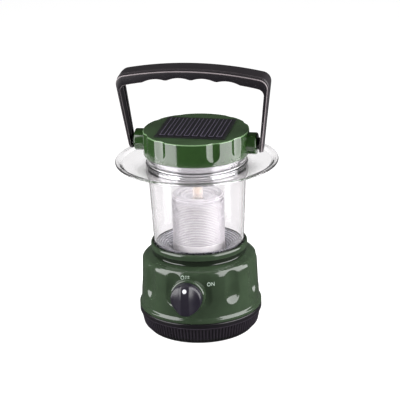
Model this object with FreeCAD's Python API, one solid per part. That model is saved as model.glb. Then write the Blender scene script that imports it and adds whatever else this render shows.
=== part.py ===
"""Solar camping lantern: a battery base with a twist-off cover, a clear globe over a ribbed
lens and bulb, a solar cap, and a swinging carry handle.

Millimetres. +Z is up, the origin is the centre of the underside, the knob faces -Y and the
handle swings about an axis along X.
"""
import FreeCAD, Part
import math
import os

V = FreeCAD.Vector
AXIS_X = V(1, 0, 0)
AXIS_Y = V(0, 1, 0)
AXIS_Z = V(0, 0, 1)
ORIGIN = V(0, 0, 0)

# ---- clearances ------------------------------------------------------------------------
RUNNING_FIT = 0.06        # radial play of a shaft that turns in its hole
SLIP_FIT = 0.25           # play between pieces that drop into each other
CAP_SEAT_GAP = 0.1        # cap above the globe's top edge
PARTING_GAP = 0.3         # gap between pieces that move past each other

# ---- battery cells, which set the height of the base -----------------------------------
CELL_RADIUS = 7.1
CELL_LENGTH = 50.5        # over the positive tip
CELL_TIP_RADIUS = 2.7
CELL_TIP_LENGTH = 1.0
BAY_WALL = 1.2
CONTACT_THICKNESS = 0.4
CONTACT_WIDTH = 7.81
CONTACT_OVERRUN = 4.26    # strip beyond the middles of its two cells
TRAY_THICKNESS = 1.6
HOLDER_ROOF = 1.1
HOLDER_CORNER = 3.55
WINDOW_WIDTH = 8.52
WINDOW_HEIGHT = 30.3
WINDOW_RISE = 10.1        # foot of a window above the holder's foot
HOLDER_EAR_REACH = 6.5
HOLDER_EAR_THICKNESS = 2.4
HOLDER_EAR_WIDTH = 10.4
HOLDER_EAR_CORNER = 2.6

# ---- battery cover ---------------------------------------------------------------------
BASE_RADIUS = 45.0
COVER_HEIGHT = 17.0
COVER_FLOOR = 2.6
COVER_WALL = 2.4
COVER_FOOT_INSET = 6.4    # foot ring inside the smooth band
COVER_FOOT_ROUND = 4.2
COVER_FOOT_RECESS = 0.8   # depth of the hollow inside the foot ring
COVER_FOOT_WIDTH = 9.0
COVER_BAND_HEIGHT = 3.8   # smooth band above the grip
COVER_GRIP_INSET = 0.7    # how far the top of the grip lies inside the band
COVER_DRAFT = 1.9         # how much narrower the grip is at its foot
GRIP_GROOVE_COUNT = 84
GRIP_GROOVE_WIDTH = 1.8
GRIP_GROOVE_DEPTH = 0.75
GRIP_GROOVE_DROP = 0.4    # top of the grooves below the band
SPIGOT_INSET = 3.7        # width of the ledge that the housing stands on
SPIGOT_WALL = 1.8
SPIGOT_HEIGHT = 5.4       # above the cover
LUG_COUNT = 3
LUG_REACH = 1.2
LUG_HEIGHT = 1.4
LUG_RISE = 1.7            # underside of a lug above the cover's top edge
LUG_ANGLE = 26.0
LUG_ENTRY_PLAY = 3.0      # degrees by which an entry is wider than its lug
COVER_TWIST = 32.0        # turn from locked to free
SEAL_WIDTH = 1.0

# ---- base housing ----------------------------------------------------------------------
HOUSING_WALL = 2.0
SKIRT_HEIGHT = 3.4
SKIRT_SLOPE = 1.8         # height of the slope between skirt and waist
WAIST_INSET = 1.5         # wall above the skirt, inside the skirt
SHOULDER_INSET = 2.9
SHOULDER_BEVEL = 2.4
SHOULDER_DROP = 2.6       # shoulder edge below the foot of the neck
NECK_HEIGHT = 4.0
NECK_RISE = 1.2           # foot of the neck above the deck's underside
DECK_THICKNESS = 2.2
WIRE_HOLE_RADIUS = 3.5
FLUTE_COUNT = 12
FLUTE_BACKING = 0.6       # extra wall behind the flutes
BASE_FLUTE_INSET = 0.7    # surface that the flutes are sunk into, inside the waist
BASE_FLUTE_WIDTH = 12.6
BASE_FLUTE_DEPTH = 1.8
FLUTE_END_SLOPE = 2.6     # length of a flute's arched foot over its depth
BASE_FLUTE_FOOT = 13.2    # foot of the flutes above the cover

# ---- switch ----------------------------------------------------------------------------
KNOB_HEIGHT = 39.0
KNOB_RADIUS = 11.3
KNOB_LENGTH = 9.6
KNOB_BEVEL = 1.0
KNOB_SCOOP_DEPTH = 5.44
KNOB_SCOOP_RADIUS = 14.125
KNOB_BAR_WIDTH = 7.6
POINTER_RADIUS = 1.85
POINTER_INSET = 3.6       # pointer centre inside the knob's edge
POINTER_DEPTH = 0.8
BOSS_RADIUS = 13.7
BOSS_PROUD = 2.5          # front of the boss beyond the wall
BOSS_DEPTH = 9.4
BOSS_BEVEL = 0.8
BOSS_COUNTERBORE = 8.0
BOSS_COUNTERBORE_DEPTH = 3.2
SWITCH_THREAD_RADIUS = 3.4
SWITCH_SHAFT_RADIUS = 2.0
SWITCH_BODY_WIDTH = 15.0
SWITCH_BODY_DEPTH = 7.0
SWITCH_BODY_BEVEL = 1.5
SWITCH_NECK_SETBACK = 0.8  # front of the threaded neck behind the boss's face
SWITCH_BORE_DEPTH = 4.0   # how far the shaft's bore runs on into the body
SHAFT_IN_SWITCH = 2.5
SHAFT_IN_KNOB = 5.76
SHAFT_FLAT_HEIGHT = 1.2   # flat above the shaft's axis
TAG_PITCH = 4.0           # solder tags at the back of the switch
TAG_THICKNESS = 0.6
TAG_LENGTH = 3.0
TAG_WIDTH = 2.2
SWITCH_NUT_RADIUS = 5.4
SWITCH_NUT_THICKNESS = 2.0

# ---- globe, collar and lower reflector -------------------------------------------------
COLLAR_RIM = 2.5          # collar beyond the globe's foot
COLLAR_REACH = 1.8        # collar beyond the neck under it
COLLAR_HEIGHT = 4.6
COLLAR_BEVEL = 1.2
COLLAR_LEDGE = 1.2        # height of the ledge that the globe stands on
COLLAR_SPIGOT_WALL = 1.6
GLOBE_WALL = 2.0
GLOBE_FOOT_RADIUS = 32.8
GLOBE_TOP_RADIUS = 36.4
GLOBE_HEIGHT = 75.2
BRIM_RADIUS = 59.0
BRIM_FLAT_RADIUS = 54.3
BRIM_DROP = 13.0          # underside of the brim below the globe's top edge
BRIM_THICKNESS = 1.5
LIP_RISE = 2.2
LIP_EDGE_RISE = 1.54      # outer edge of the lip above the brim
DISH_WALL = 1.2
DISH_DEPTH = 6.0
DISH_RISE = 3.8           # rim of the dish above the collar's ledge
DISH_STEP_COUNT = 2
DISH_TREAD = 0.3          # upright part of a step in the dish

# ---- lens and lamp ---------------------------------------------------------------------
LENS_RADIUS = 19.0
LENS_HEIGHT = 44.2
LENS_WALL = 2.2
LENS_RIB_COUNT = 8
LENS_RIB_DEPTH = 0.9
LENS_BAND = 11.5          # smooth band at the lens's foot
LENS_SHOULDER = 3.0
FUNNEL_DEPTH = 5.0
FUNNEL_SHOULDER = 3.5     # top of the lens's bore below its top
LENS_FLANGE_REACH = 2.4
LENS_FLANGE_HEIGHT = 1.2
POST_RADIUS = 6.4
POST_FOOT_RADIUS = 12.0
POST_FOOT_HEIGHT = 1.6
SOCKET_WALL = 0.6
SOCKET_HEIGHT = 12.0
SOCKET_RIM_DROP = 0.4     # socket's rim below the bulb's flange
BULB_BASE_RADIUS = 4.6
BULB_BASE_HEIGHT = 10.5
BULB_TIP_LENGTH = 0.9
BULB_FLANGE_RADIUS = 5.1
BULB_FLANGE_HEIGHT = 1.4
BULB_RADIUS = 3.9
BULB_HEIGHT = 13.0
BULB_NECK_RADIUS = 3.315
BULB_NECK_HEIGHT = 5.2
BULB_CROWN_BEVEL = 2.145

# ---- cap and upper reflector -----------------------------------------------------------
CAP_SKIRT_WALL = 1.65     # wall round the globe's top edge
CAP_HEIGHT = 15.5
CAP_TOP_THICKNESS = 2.4
CAP_BEVEL = 0.7
CAP_WALL = 3.6
CAP_OVERLAP = 3.2         # how far the cap reaches down over the globe
CAP_FLUTE_WIDTH = 9.4
CAP_FLUTE_DEPTH = 1.3
CAP_FLUTE_FOOT = 3.6      # foot of the flutes above the cap's lower edge
REFLECTOR_WALL = 1.2
REFLECTOR_WALL_RISE = 1.6  # side wall above the cap's lower edge
REFLECTOR_FOLD_WIDTH = 1.68
REFLECTOR_FOLD_HEIGHT = 2.4
REFLECTOR_ROOF_LAP = 0.36
REFLECTOR_DROP = 10.4     # rim of the reflector below the cap's lower edge
REFLECTOR_ROOF_RADIUS = 22.0
REFLECTOR_ROOF_RISE = 8.2
CAP_SCREW_CIRCLE = 16.0
CAP_SCREW_COUNT = 3
CAP_POST_RADIUS = 3.0

# ---- solar panel -----------------------------------------------------------------------
PANEL_WIDTH = 50.6
PANEL_DEPTH = 47.0
PANEL_THICKNESS = 1.5
PANEL_RECESS = 0.6
CELL_STRIP_COUNT = 8
STRIP_GAP = 0.7
STRIP_THICKNESS = 0.25
PANEL_BORDER = 2.2
PANEL_WIRE_SLOT = 5.0
DIODE_RADIUS = 1.0
DIODE_LENGTH = 4.0
DIODE_DROP = 1.3          # its axis below the board
LEAD_LENGTH = 1.2
LEAD_WIDTH = 0.6
LEAD_SPACING = 4.8

# ---- handle ----------------------------------------------------------------------------
PIVOT_HEIGHT = 6.3        # pivot above the cap's lower edge
PIVOT_BOSS_RADIUS = 7.9
PIVOT_BOSS_REACH = 6.4    # beyond the cap's side
PIVOT_BOSS_ROOT = 1.0     # how deep it stands in the cap's wall
INNER_BOSS_REACH = 0.8    # boss inside the cap that the clip rests on
PIVOT_DISC_RADIUS = 4.4
PIVOT_DISC_LENGTH = 2.3
PIVOT_PIN_RADIUS = 2.4
CLIP_RADIUS = 3.6
CLIP_THICKNESS = 0.8
HANDLE_REACH = 57.0       # pivot to the top of the grip
HANDLE_SPREAD = 6.2       # how much wider each side is at the top corner
HANDLE_ARCH = 6.1
HANDLE_CORNER = 7.0
HANDLE_INNER_CORNER = 5.0
ARM_THICKNESS = 2.5
ARM_THICKENING = 0.9
ARM_END_RADIUS = 6.5
HANDLE_WIDTH = 18.0
HANDLE_SKIN = 1.3
HANDLE_FLANGE = 1.8
GRIP_THICKNESS = 7.2
FINGER_PITCH = 18.1
FINGER_COUNT = 4
FINGER_DEPTH = 1.5
FINGER_GAP = 2.0          # width of the crest between two finger grooves
GRIP_RIB_WIDTH = 1.4      # ribs in the hollow behind the crests
HANDLE_LEAN = 5.4         # forward lean of the handle as it stands
HANDLE_EDGE_BEVEL = 0.8

# ---- screws and charging board ---------------------------------------------------------
SCREW_RADIUS = 1.0
SCREW_HEAD_RADIUS = 2.0
SCREW_HEAD_HEIGHT = 1.3
SCREW_LENGTH = 5.0
BOARD_WIDTH = 26.0
BOARD_HEIGHT = 20.0
BOARD_THICKNESS = 1.6
BOARD_PAD_LENGTH = 6.1
BOARD_PAD_RADIUS = 2.6
BOARD_SCREW_OFFSET = 9.4  # from the middle of the board
CAN_RADIUS = 2.5
CAN_LENGTH = 6.0
CAN_RISE = 4.0            # above the board's middle
RECTIFIER_SIZE = (5.0, 2.2, 2.6, 2.0)  # width, depth, height and foot below the board's middle
RESISTOR_SIZE = (6.0, 1.6, 1.8, 7.0)
SCREW_TIP_GAP = 0.2

# ---- heights that follow ---------------------------------------------------------------
tray_z = COVER_FLOOR + PARTING_GAP
cell_z = tray_z + TRAY_THICKNESS + CONTACT_THICKNESS
holder_roof_z = cell_z + CELL_LENGTH + CONTACT_THICKNESS
deck_z = holder_roof_z + HOLDER_ROOF
deck_top_z = deck_z + DECK_THICKNESS
neck_z = deck_z + NECK_RISE
collar_z = neck_z + NECK_HEIGHT
ledge_z = collar_z + COLLAR_LEDGE
globe_top_z = ledge_z + GLOBE_HEIGHT
brim_z = globe_top_z - BRIM_DROP
cap_z = globe_top_z - CAP_OVERLAP
cap_top_z = cap_z + CAP_HEIGHT
pivot_z = cap_z + PIVOT_HEIGHT
housing_z = COVER_HEIGHT + PARTING_GAP

# ---- radii that follow -----------------------------------------------------------------
cover_foot_radius = BASE_RADIUS - COVER_FOOT_INSET
spigot_radius = BASE_RADIUS - SPIGOT_INSET
spigot_bore = spigot_radius + PARTING_GAP
lug_groove_radius = spigot_radius + LUG_REACH + PARTING_GAP
waist_radius = BASE_RADIUS - WAIST_INSET
shoulder_radius = BASE_RADIUS - SHOULDER_INSET
housing_bore = waist_radius - BASE_FLUTE_DEPTH - HOUSING_WALL - FLUTE_BACKING
boss_face_y = -(waist_radius + BOSS_PROUD)
board_distance = housing_bore - BOARD_PAD_LENGTH
collar_radius = GLOBE_FOOT_RADIUS + COLLAR_RIM
neck_radius = collar_radius - COLLAR_REACH
globe_slope = (GLOBE_TOP_RADIUS - GLOBE_FOOT_RADIUS) / GLOBE_HEIGHT
cap_radius = GLOBE_TOP_RADIUS + SLIP_FIT + CAP_SKIRT_WALL
clip_x = cap_radius - CAP_WALL - INNER_BOSS_REACH - CLIP_THICKNESS - PARTING_GAP
pin_disc_x = cap_radius + PIVOT_BOSS_REACH + PARTING_GAP
arm_x = pin_disc_x + PIVOT_DISC_LENGTH - PARTING_GAP
cell_offset = CELL_RADIUS + SLIP_FIT + BAY_WALL / 2


# ---- shape helpers ---------------------------------------------------------------------
def outline(corners):
    """Closed wire in the X-Z plane through (x, z) corners; a third number bevels a corner."""
    points = []
    for index, corner in enumerate(corners):
        here = V(corner[0], 0, corner[1])
        if len(corner) == 2:
            points.append(here)
            continue
        for beside in (corners[index - 1], corners[(index + 1) % len(corners)]):
            towards = (V(beside[0], 0, beside[1]) - here).normalize()
            points.append(here + towards * corner[2])
    return Part.makePolygon(points + points[:1])


def turned(corners):
    """Solid of revolution about Z from (radius, height) corners."""
    return Part.Face(outline(corners)).revolve(ORIGIN, AXIS_Z, 360)


def plate(corners, y_from, y_to):
    """Outline in the X-Z plane, thickened along Y."""
    face = Part.Face(outline(corners))
    face.translate(V(0, y_from, 0))
    return face.extrude(V(0, y_to - y_from, 0))


def tube(outer, inner, z_from, z_to):
    """Plain ring about Z."""
    body = Part.makeCylinder(outer, z_to - z_from, V(0, 0, z_from))
    return body.cut(Part.makeCylinder(inner, z_to - z_from, V(0, 0, z_from)))


def block(x_size, y_size, z_from, z_to):
    """Box centred on the Z axis."""
    corner = V(-x_size / 2, -y_size / 2, z_from)
    return Part.makeBox(x_size, y_size, z_to - z_from, corner)


def turned_to(shape, degrees):
    """Copy of a shape, turned about Z."""
    copy = shape.copy()
    copy.rotate(ORIGIN, AXIS_Z, degrees)
    return copy


def ring_of(shape, angles):
    """Copies of a shape at the given angles about Z, as one group."""
    return Part.makeCompound([turned_to(shape, angle) for angle in angles])


def even_angles(count, start=0.0):
    """Equally spaced angles round the circle."""
    return [start + 360.0 * step / count for step in range(count)]


def mirrored(shape):
    """The same shape on the other side of the X = 0 plane."""
    return shape.mirror(ORIGIN, AXIS_X)


def flute_tool(surface_radius, width, depth, foot_z, top_z):
    """Upright cutter that sinks a hollow with an arched foot into the front of a wall."""
    wall_bulge = surface_radius - math.sqrt(surface_radius ** 2 - (width / 2) ** 2)
    sag = depth - wall_bulge
    radius = ((width / 2) ** 2 + sag ** 2) / (2 * sag)
    centre_y = -(surface_radius - depth + radius)
    centre_z = foot_z + depth * FLUTE_END_SLOPE
    cutter = Part.makeCylinder(radius, top_z - centre_z, V(0, centre_y, centre_z))
    foot = Part.makeCone(radius - depth, radius, centre_z - foot_z, V(0, centre_y, foot_z))
    return cutter.fuse(foot)


def hexagon(radius, y_from, length):
    """Hexagonal bar along Y, centred on the Y axis."""
    corners = [V(radius * math.cos(math.radians(angle)), y_from,
                 radius * math.sin(math.radians(angle))) for angle in even_angles(6)]
    return Part.Face(Part.makePolygon(corners + corners[:1])).extrude(V(0, length, 0))


def screw(tip, z_head, x, y):
    """Hexagon-headed screw along Z from its tip to the underside of its head."""
    shank = Part.makeCylinder(SCREW_RADIUS, abs(tip - z_head), V(x, y, min(tip, z_head)))
    head = hexagon(SCREW_HEAD_RADIUS, 0, SCREW_HEAD_HEIGHT)
    head.rotate(ORIGIN, AXIS_X, -90 if tip > z_head else 90)
    head.translate(V(x, y, z_head))
    return shank.fuse(head)


# ---- battery cover ---------------------------------------------------------------------
def make_battery_cover():
    """Twist-off cup with a grooved grip, a foot ring and three bayonet lugs."""
    band_z = COVER_HEIGHT - COVER_BAND_HEIGHT
    grip_top = BASE_RADIUS - COVER_GRIP_INSET
    grip_foot = grip_top - COVER_DRAFT
    spigot_inside = spigot_radius - SPIGOT_WALL
    foot_inside = cover_foot_radius - COVER_FOOT_WIDTH
    cup = turned([
        (0, COVER_FOOT_RECESS),
        (foot_inside, COVER_FOOT_RECESS),
        (foot_inside, 0),
        (cover_foot_radius, 0),
        (grip_foot, COVER_FOOT_ROUND),
        (grip_top, band_z),
        (BASE_RADIUS, band_z),
        (BASE_RADIUS, COVER_HEIGHT),
        (spigot_radius, COVER_HEIGHT),
        (spigot_radius, COVER_HEIGHT + SPIGOT_HEIGHT),
        (spigot_inside, COVER_HEIGHT + SPIGOT_HEIGHT),
        (cover_foot_radius - COVER_WALL, COVER_FLOOR),
        (0, COVER_FLOOR),
    ])
    lean = math.degrees(math.atan2(COVER_DRAFT, band_z - COVER_FOOT_ROUND))
    half = GRIP_GROOVE_WIDTH / 2
    wedge = Part.Face(Part.makePolygon([
        V(-half, -1, 0), V(0, GRIP_GROOVE_DEPTH, 0), V(half, -1, 0), V(-half, -1, 0)]))
    groove = wedge.extrude(V(0, 0, -band_z - GRIP_GROOVE_WIDTH))
    groove.rotate(ORIGIN, AXIS_X, lean)
    groove.translate(V(0, -grip_top, band_z - GRIP_GROOVE_DROP))
    cup = cup.cut(ring_of(groove, even_angles(GRIP_GROOVE_COUNT)))
    lug_z = COVER_HEIGHT + LUG_RISE
    lug = tube(spigot_radius + LUG_REACH, spigot_radius - SPIGOT_WALL / 2, lug_z, lug_z + LUG_HEIGHT)
    sector = Part.makeCylinder(BASE_RADIUS, COVER_HEIGHT * 2, ORIGIN, AXIS_Z, LUG_ANGLE)
    sector.rotate(ORIGIN, AXIS_Z, -LUG_ANGLE / 2)
    lugs = ring_of(lug.common(sector), even_angles(LUG_COUNT, 90))
    return cup.fuse(lugs.Solids)


def make_cover_seal():
    """Rubber ring of three-cornered section in the angle between top edge and spigot."""
    return turned([
        (spigot_radius, COVER_HEIGHT),
        (spigot_radius + SEAL_WIDTH, COVER_HEIGHT),
        (spigot_radius, COVER_HEIGHT + SEAL_WIDTH),
    ])


# ---- base housing ----------------------------------------------------------------------
def make_base_housing():
    """Fluted shell with a deck inside the neck, the switch boss and the bayonet groove."""
    skirt_z = housing_z + SKIRT_HEIGHT
    shoulder_z = neck_z - SHOULDER_DROP
    step_z = COVER_HEIGHT + SPIGOT_HEIGHT + PARTING_GAP
    neck_bore = neck_radius - HOUSING_WALL
    shell = turned([
        (spigot_bore, housing_z, SEAL_WIDTH),
        (BASE_RADIUS, housing_z),
        (BASE_RADIUS, skirt_z),
        (waist_radius, skirt_z + SKIRT_SLOPE),
        (shoulder_radius, shoulder_z, SHOULDER_BEVEL),
        (neck_radius, neck_z),
        (neck_radius, collar_z),
        (neck_bore, collar_z),
        (neck_bore, deck_top_z),
        (WIRE_HOLE_RADIUS, deck_top_z),
        (WIRE_HOLE_RADIUS, deck_z),
        (holder_half_width() + HOLDER_EAR_REACH + HOUSING_WALL, deck_z),
        (housing_bore, deck_z - SHOULDER_DROP),
        (housing_bore, step_z),
        (spigot_bore, step_z),
    ])
    flute = flute_tool(waist_radius - BASE_FLUTE_INSET, BASE_FLUTE_WIDTH, BASE_FLUTE_DEPTH,
                       COVER_HEIGHT + BASE_FLUTE_FOOT, collar_z)
    half_step = 180.0 / FLUTE_COUNT
    shell = shell.cut(ring_of(flute, even_angles(FLUTE_COUNT, half_step)))
    boss = Part.makeCylinder(BOSS_RADIUS, BOSS_DEPTH, V(0, boss_face_y, KNOB_HEIGHT), AXIS_Y)
    boss = boss.makeChamfer(BOSS_BEVEL, [edge for edge in boss.Edges
                                         if edge.BoundBox.YMax < BOSS_DEPTH + boss_face_y])
    shell = shell.fuse(boss)
    recess = Part.makeCylinder(BOSS_COUNTERBORE, BOSS_COUNTERBORE_DEPTH,
                               V(0, boss_face_y, KNOB_HEIGHT), AXIS_Y)
    hole = Part.makeCylinder(SWITCH_THREAD_RADIUS + RUNNING_FIT, BOSS_DEPTH,
                             V(0, boss_face_y, KNOB_HEIGHT), AXIS_Y)
    shell = shell.cut(recess).cut(hole)
    lug_low = COVER_HEIGHT + LUG_RISE - PARTING_GAP
    lug_high = COVER_HEIGHT + LUG_RISE + LUG_HEIGHT + PARTING_GAP
    groove = tube(lug_groove_radius, spigot_radius, lug_low, lug_high)
    entry = tube(lug_groove_radius, spigot_radius, housing_z, lug_high)
    sector = Part.makeCylinder(BASE_RADIUS, COVER_HEIGHT * 2, ORIGIN, AXIS_Z,
                               LUG_ANGLE + LUG_ENTRY_PLAY)
    sector.rotate(ORIGIN, AXIS_Z, COVER_TWIST - (LUG_ANGLE + LUG_ENTRY_PLAY) / 2)
    entries = ring_of(entry.common(sector), even_angles(LUG_COUNT, 90))
    shell = shell.cut(groove).cut(entries)
    for side in (-1, 1):
        pad = Part.makeCylinder(BOARD_PAD_RADIUS, housing_bore - board_distance,
                                V(side * BOARD_SCREW_OFFSET, board_distance, KNOB_HEIGHT), AXIS_Y)
        pilot = Part.makeCylinder(SCREW_RADIUS, SCREW_LENGTH - BOARD_THICKNESS,
                                  V(side * BOARD_SCREW_OFFSET, board_distance, KNOB_HEIGHT), AXIS_Y)
        shell = shell.fuse(pad).cut(pilot)
    for x in holder_screw_places():
        pilot = Part.makeCylinder(SCREW_RADIUS, DECK_THICKNESS, V(x, 0, deck_z))
        shell = shell.cut(pilot)
    return shell


# ---- battery holder, cells and contacts ------------------------------------------------
def cell_places():
    """Centres of the four upright cells."""
    return [(x * cell_offset, y * cell_offset) for x in (-1, 1) for y in (-1, 1)]


def holder_screw_places():
    """X of the two screws that hold the battery holder to the deck."""
    reach = holder_half_width() + HOLDER_EAR_REACH / 2
    return (-reach, reach)


def holder_half_width():
    """Half of the holder's square section."""
    return cell_offset + CELL_RADIUS + SLIP_FIT + BAY_WALL


def make_battery_holder():
    """Four open-bottomed bays under a roof, with two ears for its screws."""
    half = holder_half_width()
    foot_z = tray_z + TRAY_THICKNESS
    body = block(half * 2, half * 2, foot_z, deck_z)
    body = body.makeChamfer(HOLDER_CORNER, [edge for edge in body.Edges if upright(edge)])
    bays = [Part.makeCylinder(CELL_RADIUS + SLIP_FIT, holder_roof_z - foot_z, V(x, y, foot_z))
            for x, y in cell_places()]
    body = body.cut(bays)
    for side in (-1, 1):
        window = Part.makeBox(WINDOW_WIDTH, half * 2, WINDOW_HEIGHT,
                              V(side * cell_offset - WINDOW_WIDTH / 2, -half,
                                foot_z + WINDOW_RISE))
        body = body.cut(window.cut(block(half, half, foot_z, deck_z)))
    ears = block((half + HOLDER_EAR_REACH) * 2, HOLDER_EAR_WIDTH,
                 deck_z - HOLDER_EAR_THICKNESS, deck_z)
    ears = ears.makeChamfer(HOLDER_EAR_CORNER, [edge for edge in ears.Edges if upright(edge)])
    ears = ears.cut(block(half * 2 - BAY_WALL, half * 2, deck_z - HOLDER_EAR_THICKNESS, deck_z))
    body = body.fuse(ears)
    for x in holder_screw_places():
        body = body.cut(Part.makeCylinder(SCREW_RADIUS, HOLDER_EAR_THICKNESS,
                                          V(x, 0, deck_z - HOLDER_EAR_THICKNESS)))
    return body


def upright(edge):
    """True for a straight edge along Z."""
    box = edge.BoundBox
    return box.ZLength > 0.01 and box.XLength + box.YLength < 0.01


def make_battery_cells():
    """Four upright cells, turned end for end in pairs."""
    cells = []
    for x, y in cell_places():
        tall = CELL_LENGTH - CELL_TIP_LENGTH
        tip_up = x * y > 0
        can_z = cell_z if tip_up else cell_z + CELL_TIP_LENGTH
        tip_z = cell_z + tall if tip_up else cell_z
        can = Part.makeCylinder(CELL_RADIUS, tall, V(x, y, can_z))
        tip = Part.makeCylinder(CELL_TIP_RADIUS, CELL_TIP_LENGTH, V(x, y, tip_z))
        cells.append(can.fuse(tip))
    return Part.makeCompound(cells)


def contact_plates(z_low):
    """Pair of nickel strips, each joining two neighbouring cells."""
    long_side = (cell_offset + CONTACT_OVERRUN) * 2
    plates = []
    for x in (-cell_offset, cell_offset):
        strip = Part.makeBox(CONTACT_WIDTH, long_side, CONTACT_THICKNESS,
                             V(x - CONTACT_WIDTH / 2, -long_side / 2, z_low))
        plates.append(strip)
    return plates


def make_upper_contacts():
    """Contact strips under the holder's roof, trimmed by the wall between the bays."""
    holder = make_battery_holder()
    pieces = []
    for plate_solid in contact_plates(holder_roof_z - CONTACT_THICKNESS):
        pieces.extend(plate_solid.cut(holder).Solids)
    return Part.makeCompound(pieces)


def make_contact_tray():
    """Loose plate that carries the lower contacts and stays still while the cover turns."""
    half = holder_half_width()
    disc = block(half * 2, half * 2, tray_z, tray_z + TRAY_THICKNESS)
    return disc.makeChamfer(HOLDER_CORNER, [edge for edge in disc.Edges if upright(edge)])


def make_lower_contacts():
    """Contact strips on the tray, trimmed by the wall between the bays."""
    holder = make_battery_holder()
    pieces = []
    for plate_solid in contact_plates(tray_z + TRAY_THICKNESS):
        pieces.extend(plate_solid.cut(holder).Solids)
    return Part.makeCompound(pieces)


def make_holder_screws():
    """Two screws from below through the holder's ears into the deck."""
    head_z = deck_z - HOLDER_EAR_THICKNESS
    tip_z = deck_top_z - PARTING_GAP
    return Part.makeCompound([screw(tip_z, head_z, x, 0) for x in holder_screw_places()])


# ---- switch and knob -------------------------------------------------------------------
def make_switch_body():
    """Square rotary switch behind the boss, with its threaded neck."""
    seat_y = boss_face_y + BOSS_DEPTH
    box = Part.makeBox(SWITCH_BODY_WIDTH, SWITCH_BODY_DEPTH, SWITCH_BODY_WIDTH,
                       V(-SWITCH_BODY_WIDTH / 2, seat_y, KNOB_HEIGHT - SWITCH_BODY_WIDTH / 2))
    along_y = [edge for edge in box.Edges if edge.BoundBox.YLength > SWITCH_BODY_DEPTH / 2]
    box = box.makeChamfer(SWITCH_BODY_BEVEL, along_y)
    neck_length = BOSS_DEPTH - SWITCH_NECK_SETBACK
    neck = Part.makeCylinder(SWITCH_THREAD_RADIUS, neck_length,
                             V(0, seat_y - neck_length, KNOB_HEIGHT), AXIS_Y)
    bore = Part.makeCylinder(SWITCH_SHAFT_RADIUS + RUNNING_FIT, neck_length + SWITCH_BORE_DEPTH,
                             V(0, seat_y - neck_length, KNOB_HEIGHT), AXIS_Y)
    body = box.fuse(neck).cut(bore)
    for side in (-1, 0, 1):
        tag = Part.makeBox(TAG_THICKNESS, TAG_LENGTH, TAG_WIDTH,
                           V(side * TAG_PITCH - TAG_THICKNESS / 2, seat_y + SWITCH_BODY_DEPTH,
                             KNOB_HEIGHT - TAG_WIDTH / 2))
        body = body.fuse(tag)
    return body


def make_switch_nut():
    """Hexagon nut in the boss's recess."""
    nut = hexagon(SWITCH_NUT_RADIUS, BOSS_COUNTERBORE_DEPTH + boss_face_y, -SWITCH_NUT_THICKNESS)
    nut.translate(V(0, 0, KNOB_HEIGHT))
    hole = Part.makeCylinder(SWITCH_THREAD_RADIUS, BOSS_DEPTH, V(0, boss_face_y, KNOB_HEIGHT), AXIS_Y)
    return nut.cut(hole)


def make_switch_shaft():
    """Shaft with a flat, from inside the switch to the knob."""
    start = boss_face_y - SHAFT_IN_KNOB
    end = boss_face_y + BOSS_DEPTH + SHAFT_IN_SWITCH
    shaft = Part.makeCylinder(SWITCH_SHAFT_RADIUS, end - start, V(0, start, KNOB_HEIGHT), AXIS_Y)
    flat = Part.makeBox(SWITCH_SHAFT_RADIUS * 2, SHAFT_IN_KNOB, SWITCH_SHAFT_RADIUS,
                        V(-SWITCH_SHAFT_RADIUS, start, KNOB_HEIGHT + SHAFT_FLAT_HEIGHT))
    return shaft.cut(flat)


def knob_back_y():
    """Back of the knob, just clear of the boss."""
    return boss_face_y - PARTING_GAP


def make_knob():
    """Round knob with both cheeks scooped away from a raised grip bar."""
    back = knob_back_y()
    front = back - KNOB_LENGTH
    body = Part.makeCylinder(KNOB_RADIUS, KNOB_LENGTH, V(0, front, KNOB_HEIGHT), AXIS_Y)
    body = body.makeChamfer(KNOB_BEVEL, [edge for edge in body.Edges if edge.BoundBox.YMax < back])
    for side in (-1, 1):
        scoop = Part.makeCylinder(KNOB_SCOOP_RADIUS, KNOB_RADIUS * 2,
                                  V(side * (KNOB_BAR_WIDTH / 2 + KNOB_SCOOP_RADIUS),
                                    front - KNOB_SCOOP_RADIUS + KNOB_SCOOP_DEPTH,
                                    KNOB_HEIGHT - KNOB_RADIUS))
        body = body.cut(scoop)
    return body.cut(make_switch_shaft()).cut(make_knob_pointer())


def make_knob_pointer():
    """White dot set into the top of the knob's bar."""
    front = knob_back_y() - KNOB_LENGTH
    centre_z = KNOB_HEIGHT + KNOB_RADIUS - POINTER_INSET
    return Part.makeCylinder(POINTER_RADIUS, POINTER_DEPTH, V(0, front, centre_z), AXIS_Y)


# ---- collar, globe and lower reflector -------------------------------------------------
def globe_radius(z):
    """Outside radius of the globe at a height."""
    return GLOBE_FOOT_RADIUS + globe_slope * (z - ledge_z)


def make_globe_collar():
    """Bevelled ring on the neck that holds the globe's foot and the reflector."""
    spigot_outside = neck_radius - HOUSING_WALL - SLIP_FIT
    spigot_inside = spigot_outside - COLLAR_SPIGOT_WALL
    mouth = globe_radius(collar_z + COLLAR_HEIGHT) + SLIP_FIT
    return turned([
        (spigot_inside, deck_top_z),
        (spigot_outside, deck_top_z),
        (spigot_outside, collar_z),
        (collar_radius, collar_z),
        (collar_radius, collar_z + COLLAR_HEIGHT, COLLAR_BEVEL),
        (mouth, collar_z + COLLAR_HEIGHT),
        (mouth, ledge_z),
        (spigot_inside, ledge_z),
    ])


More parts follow.
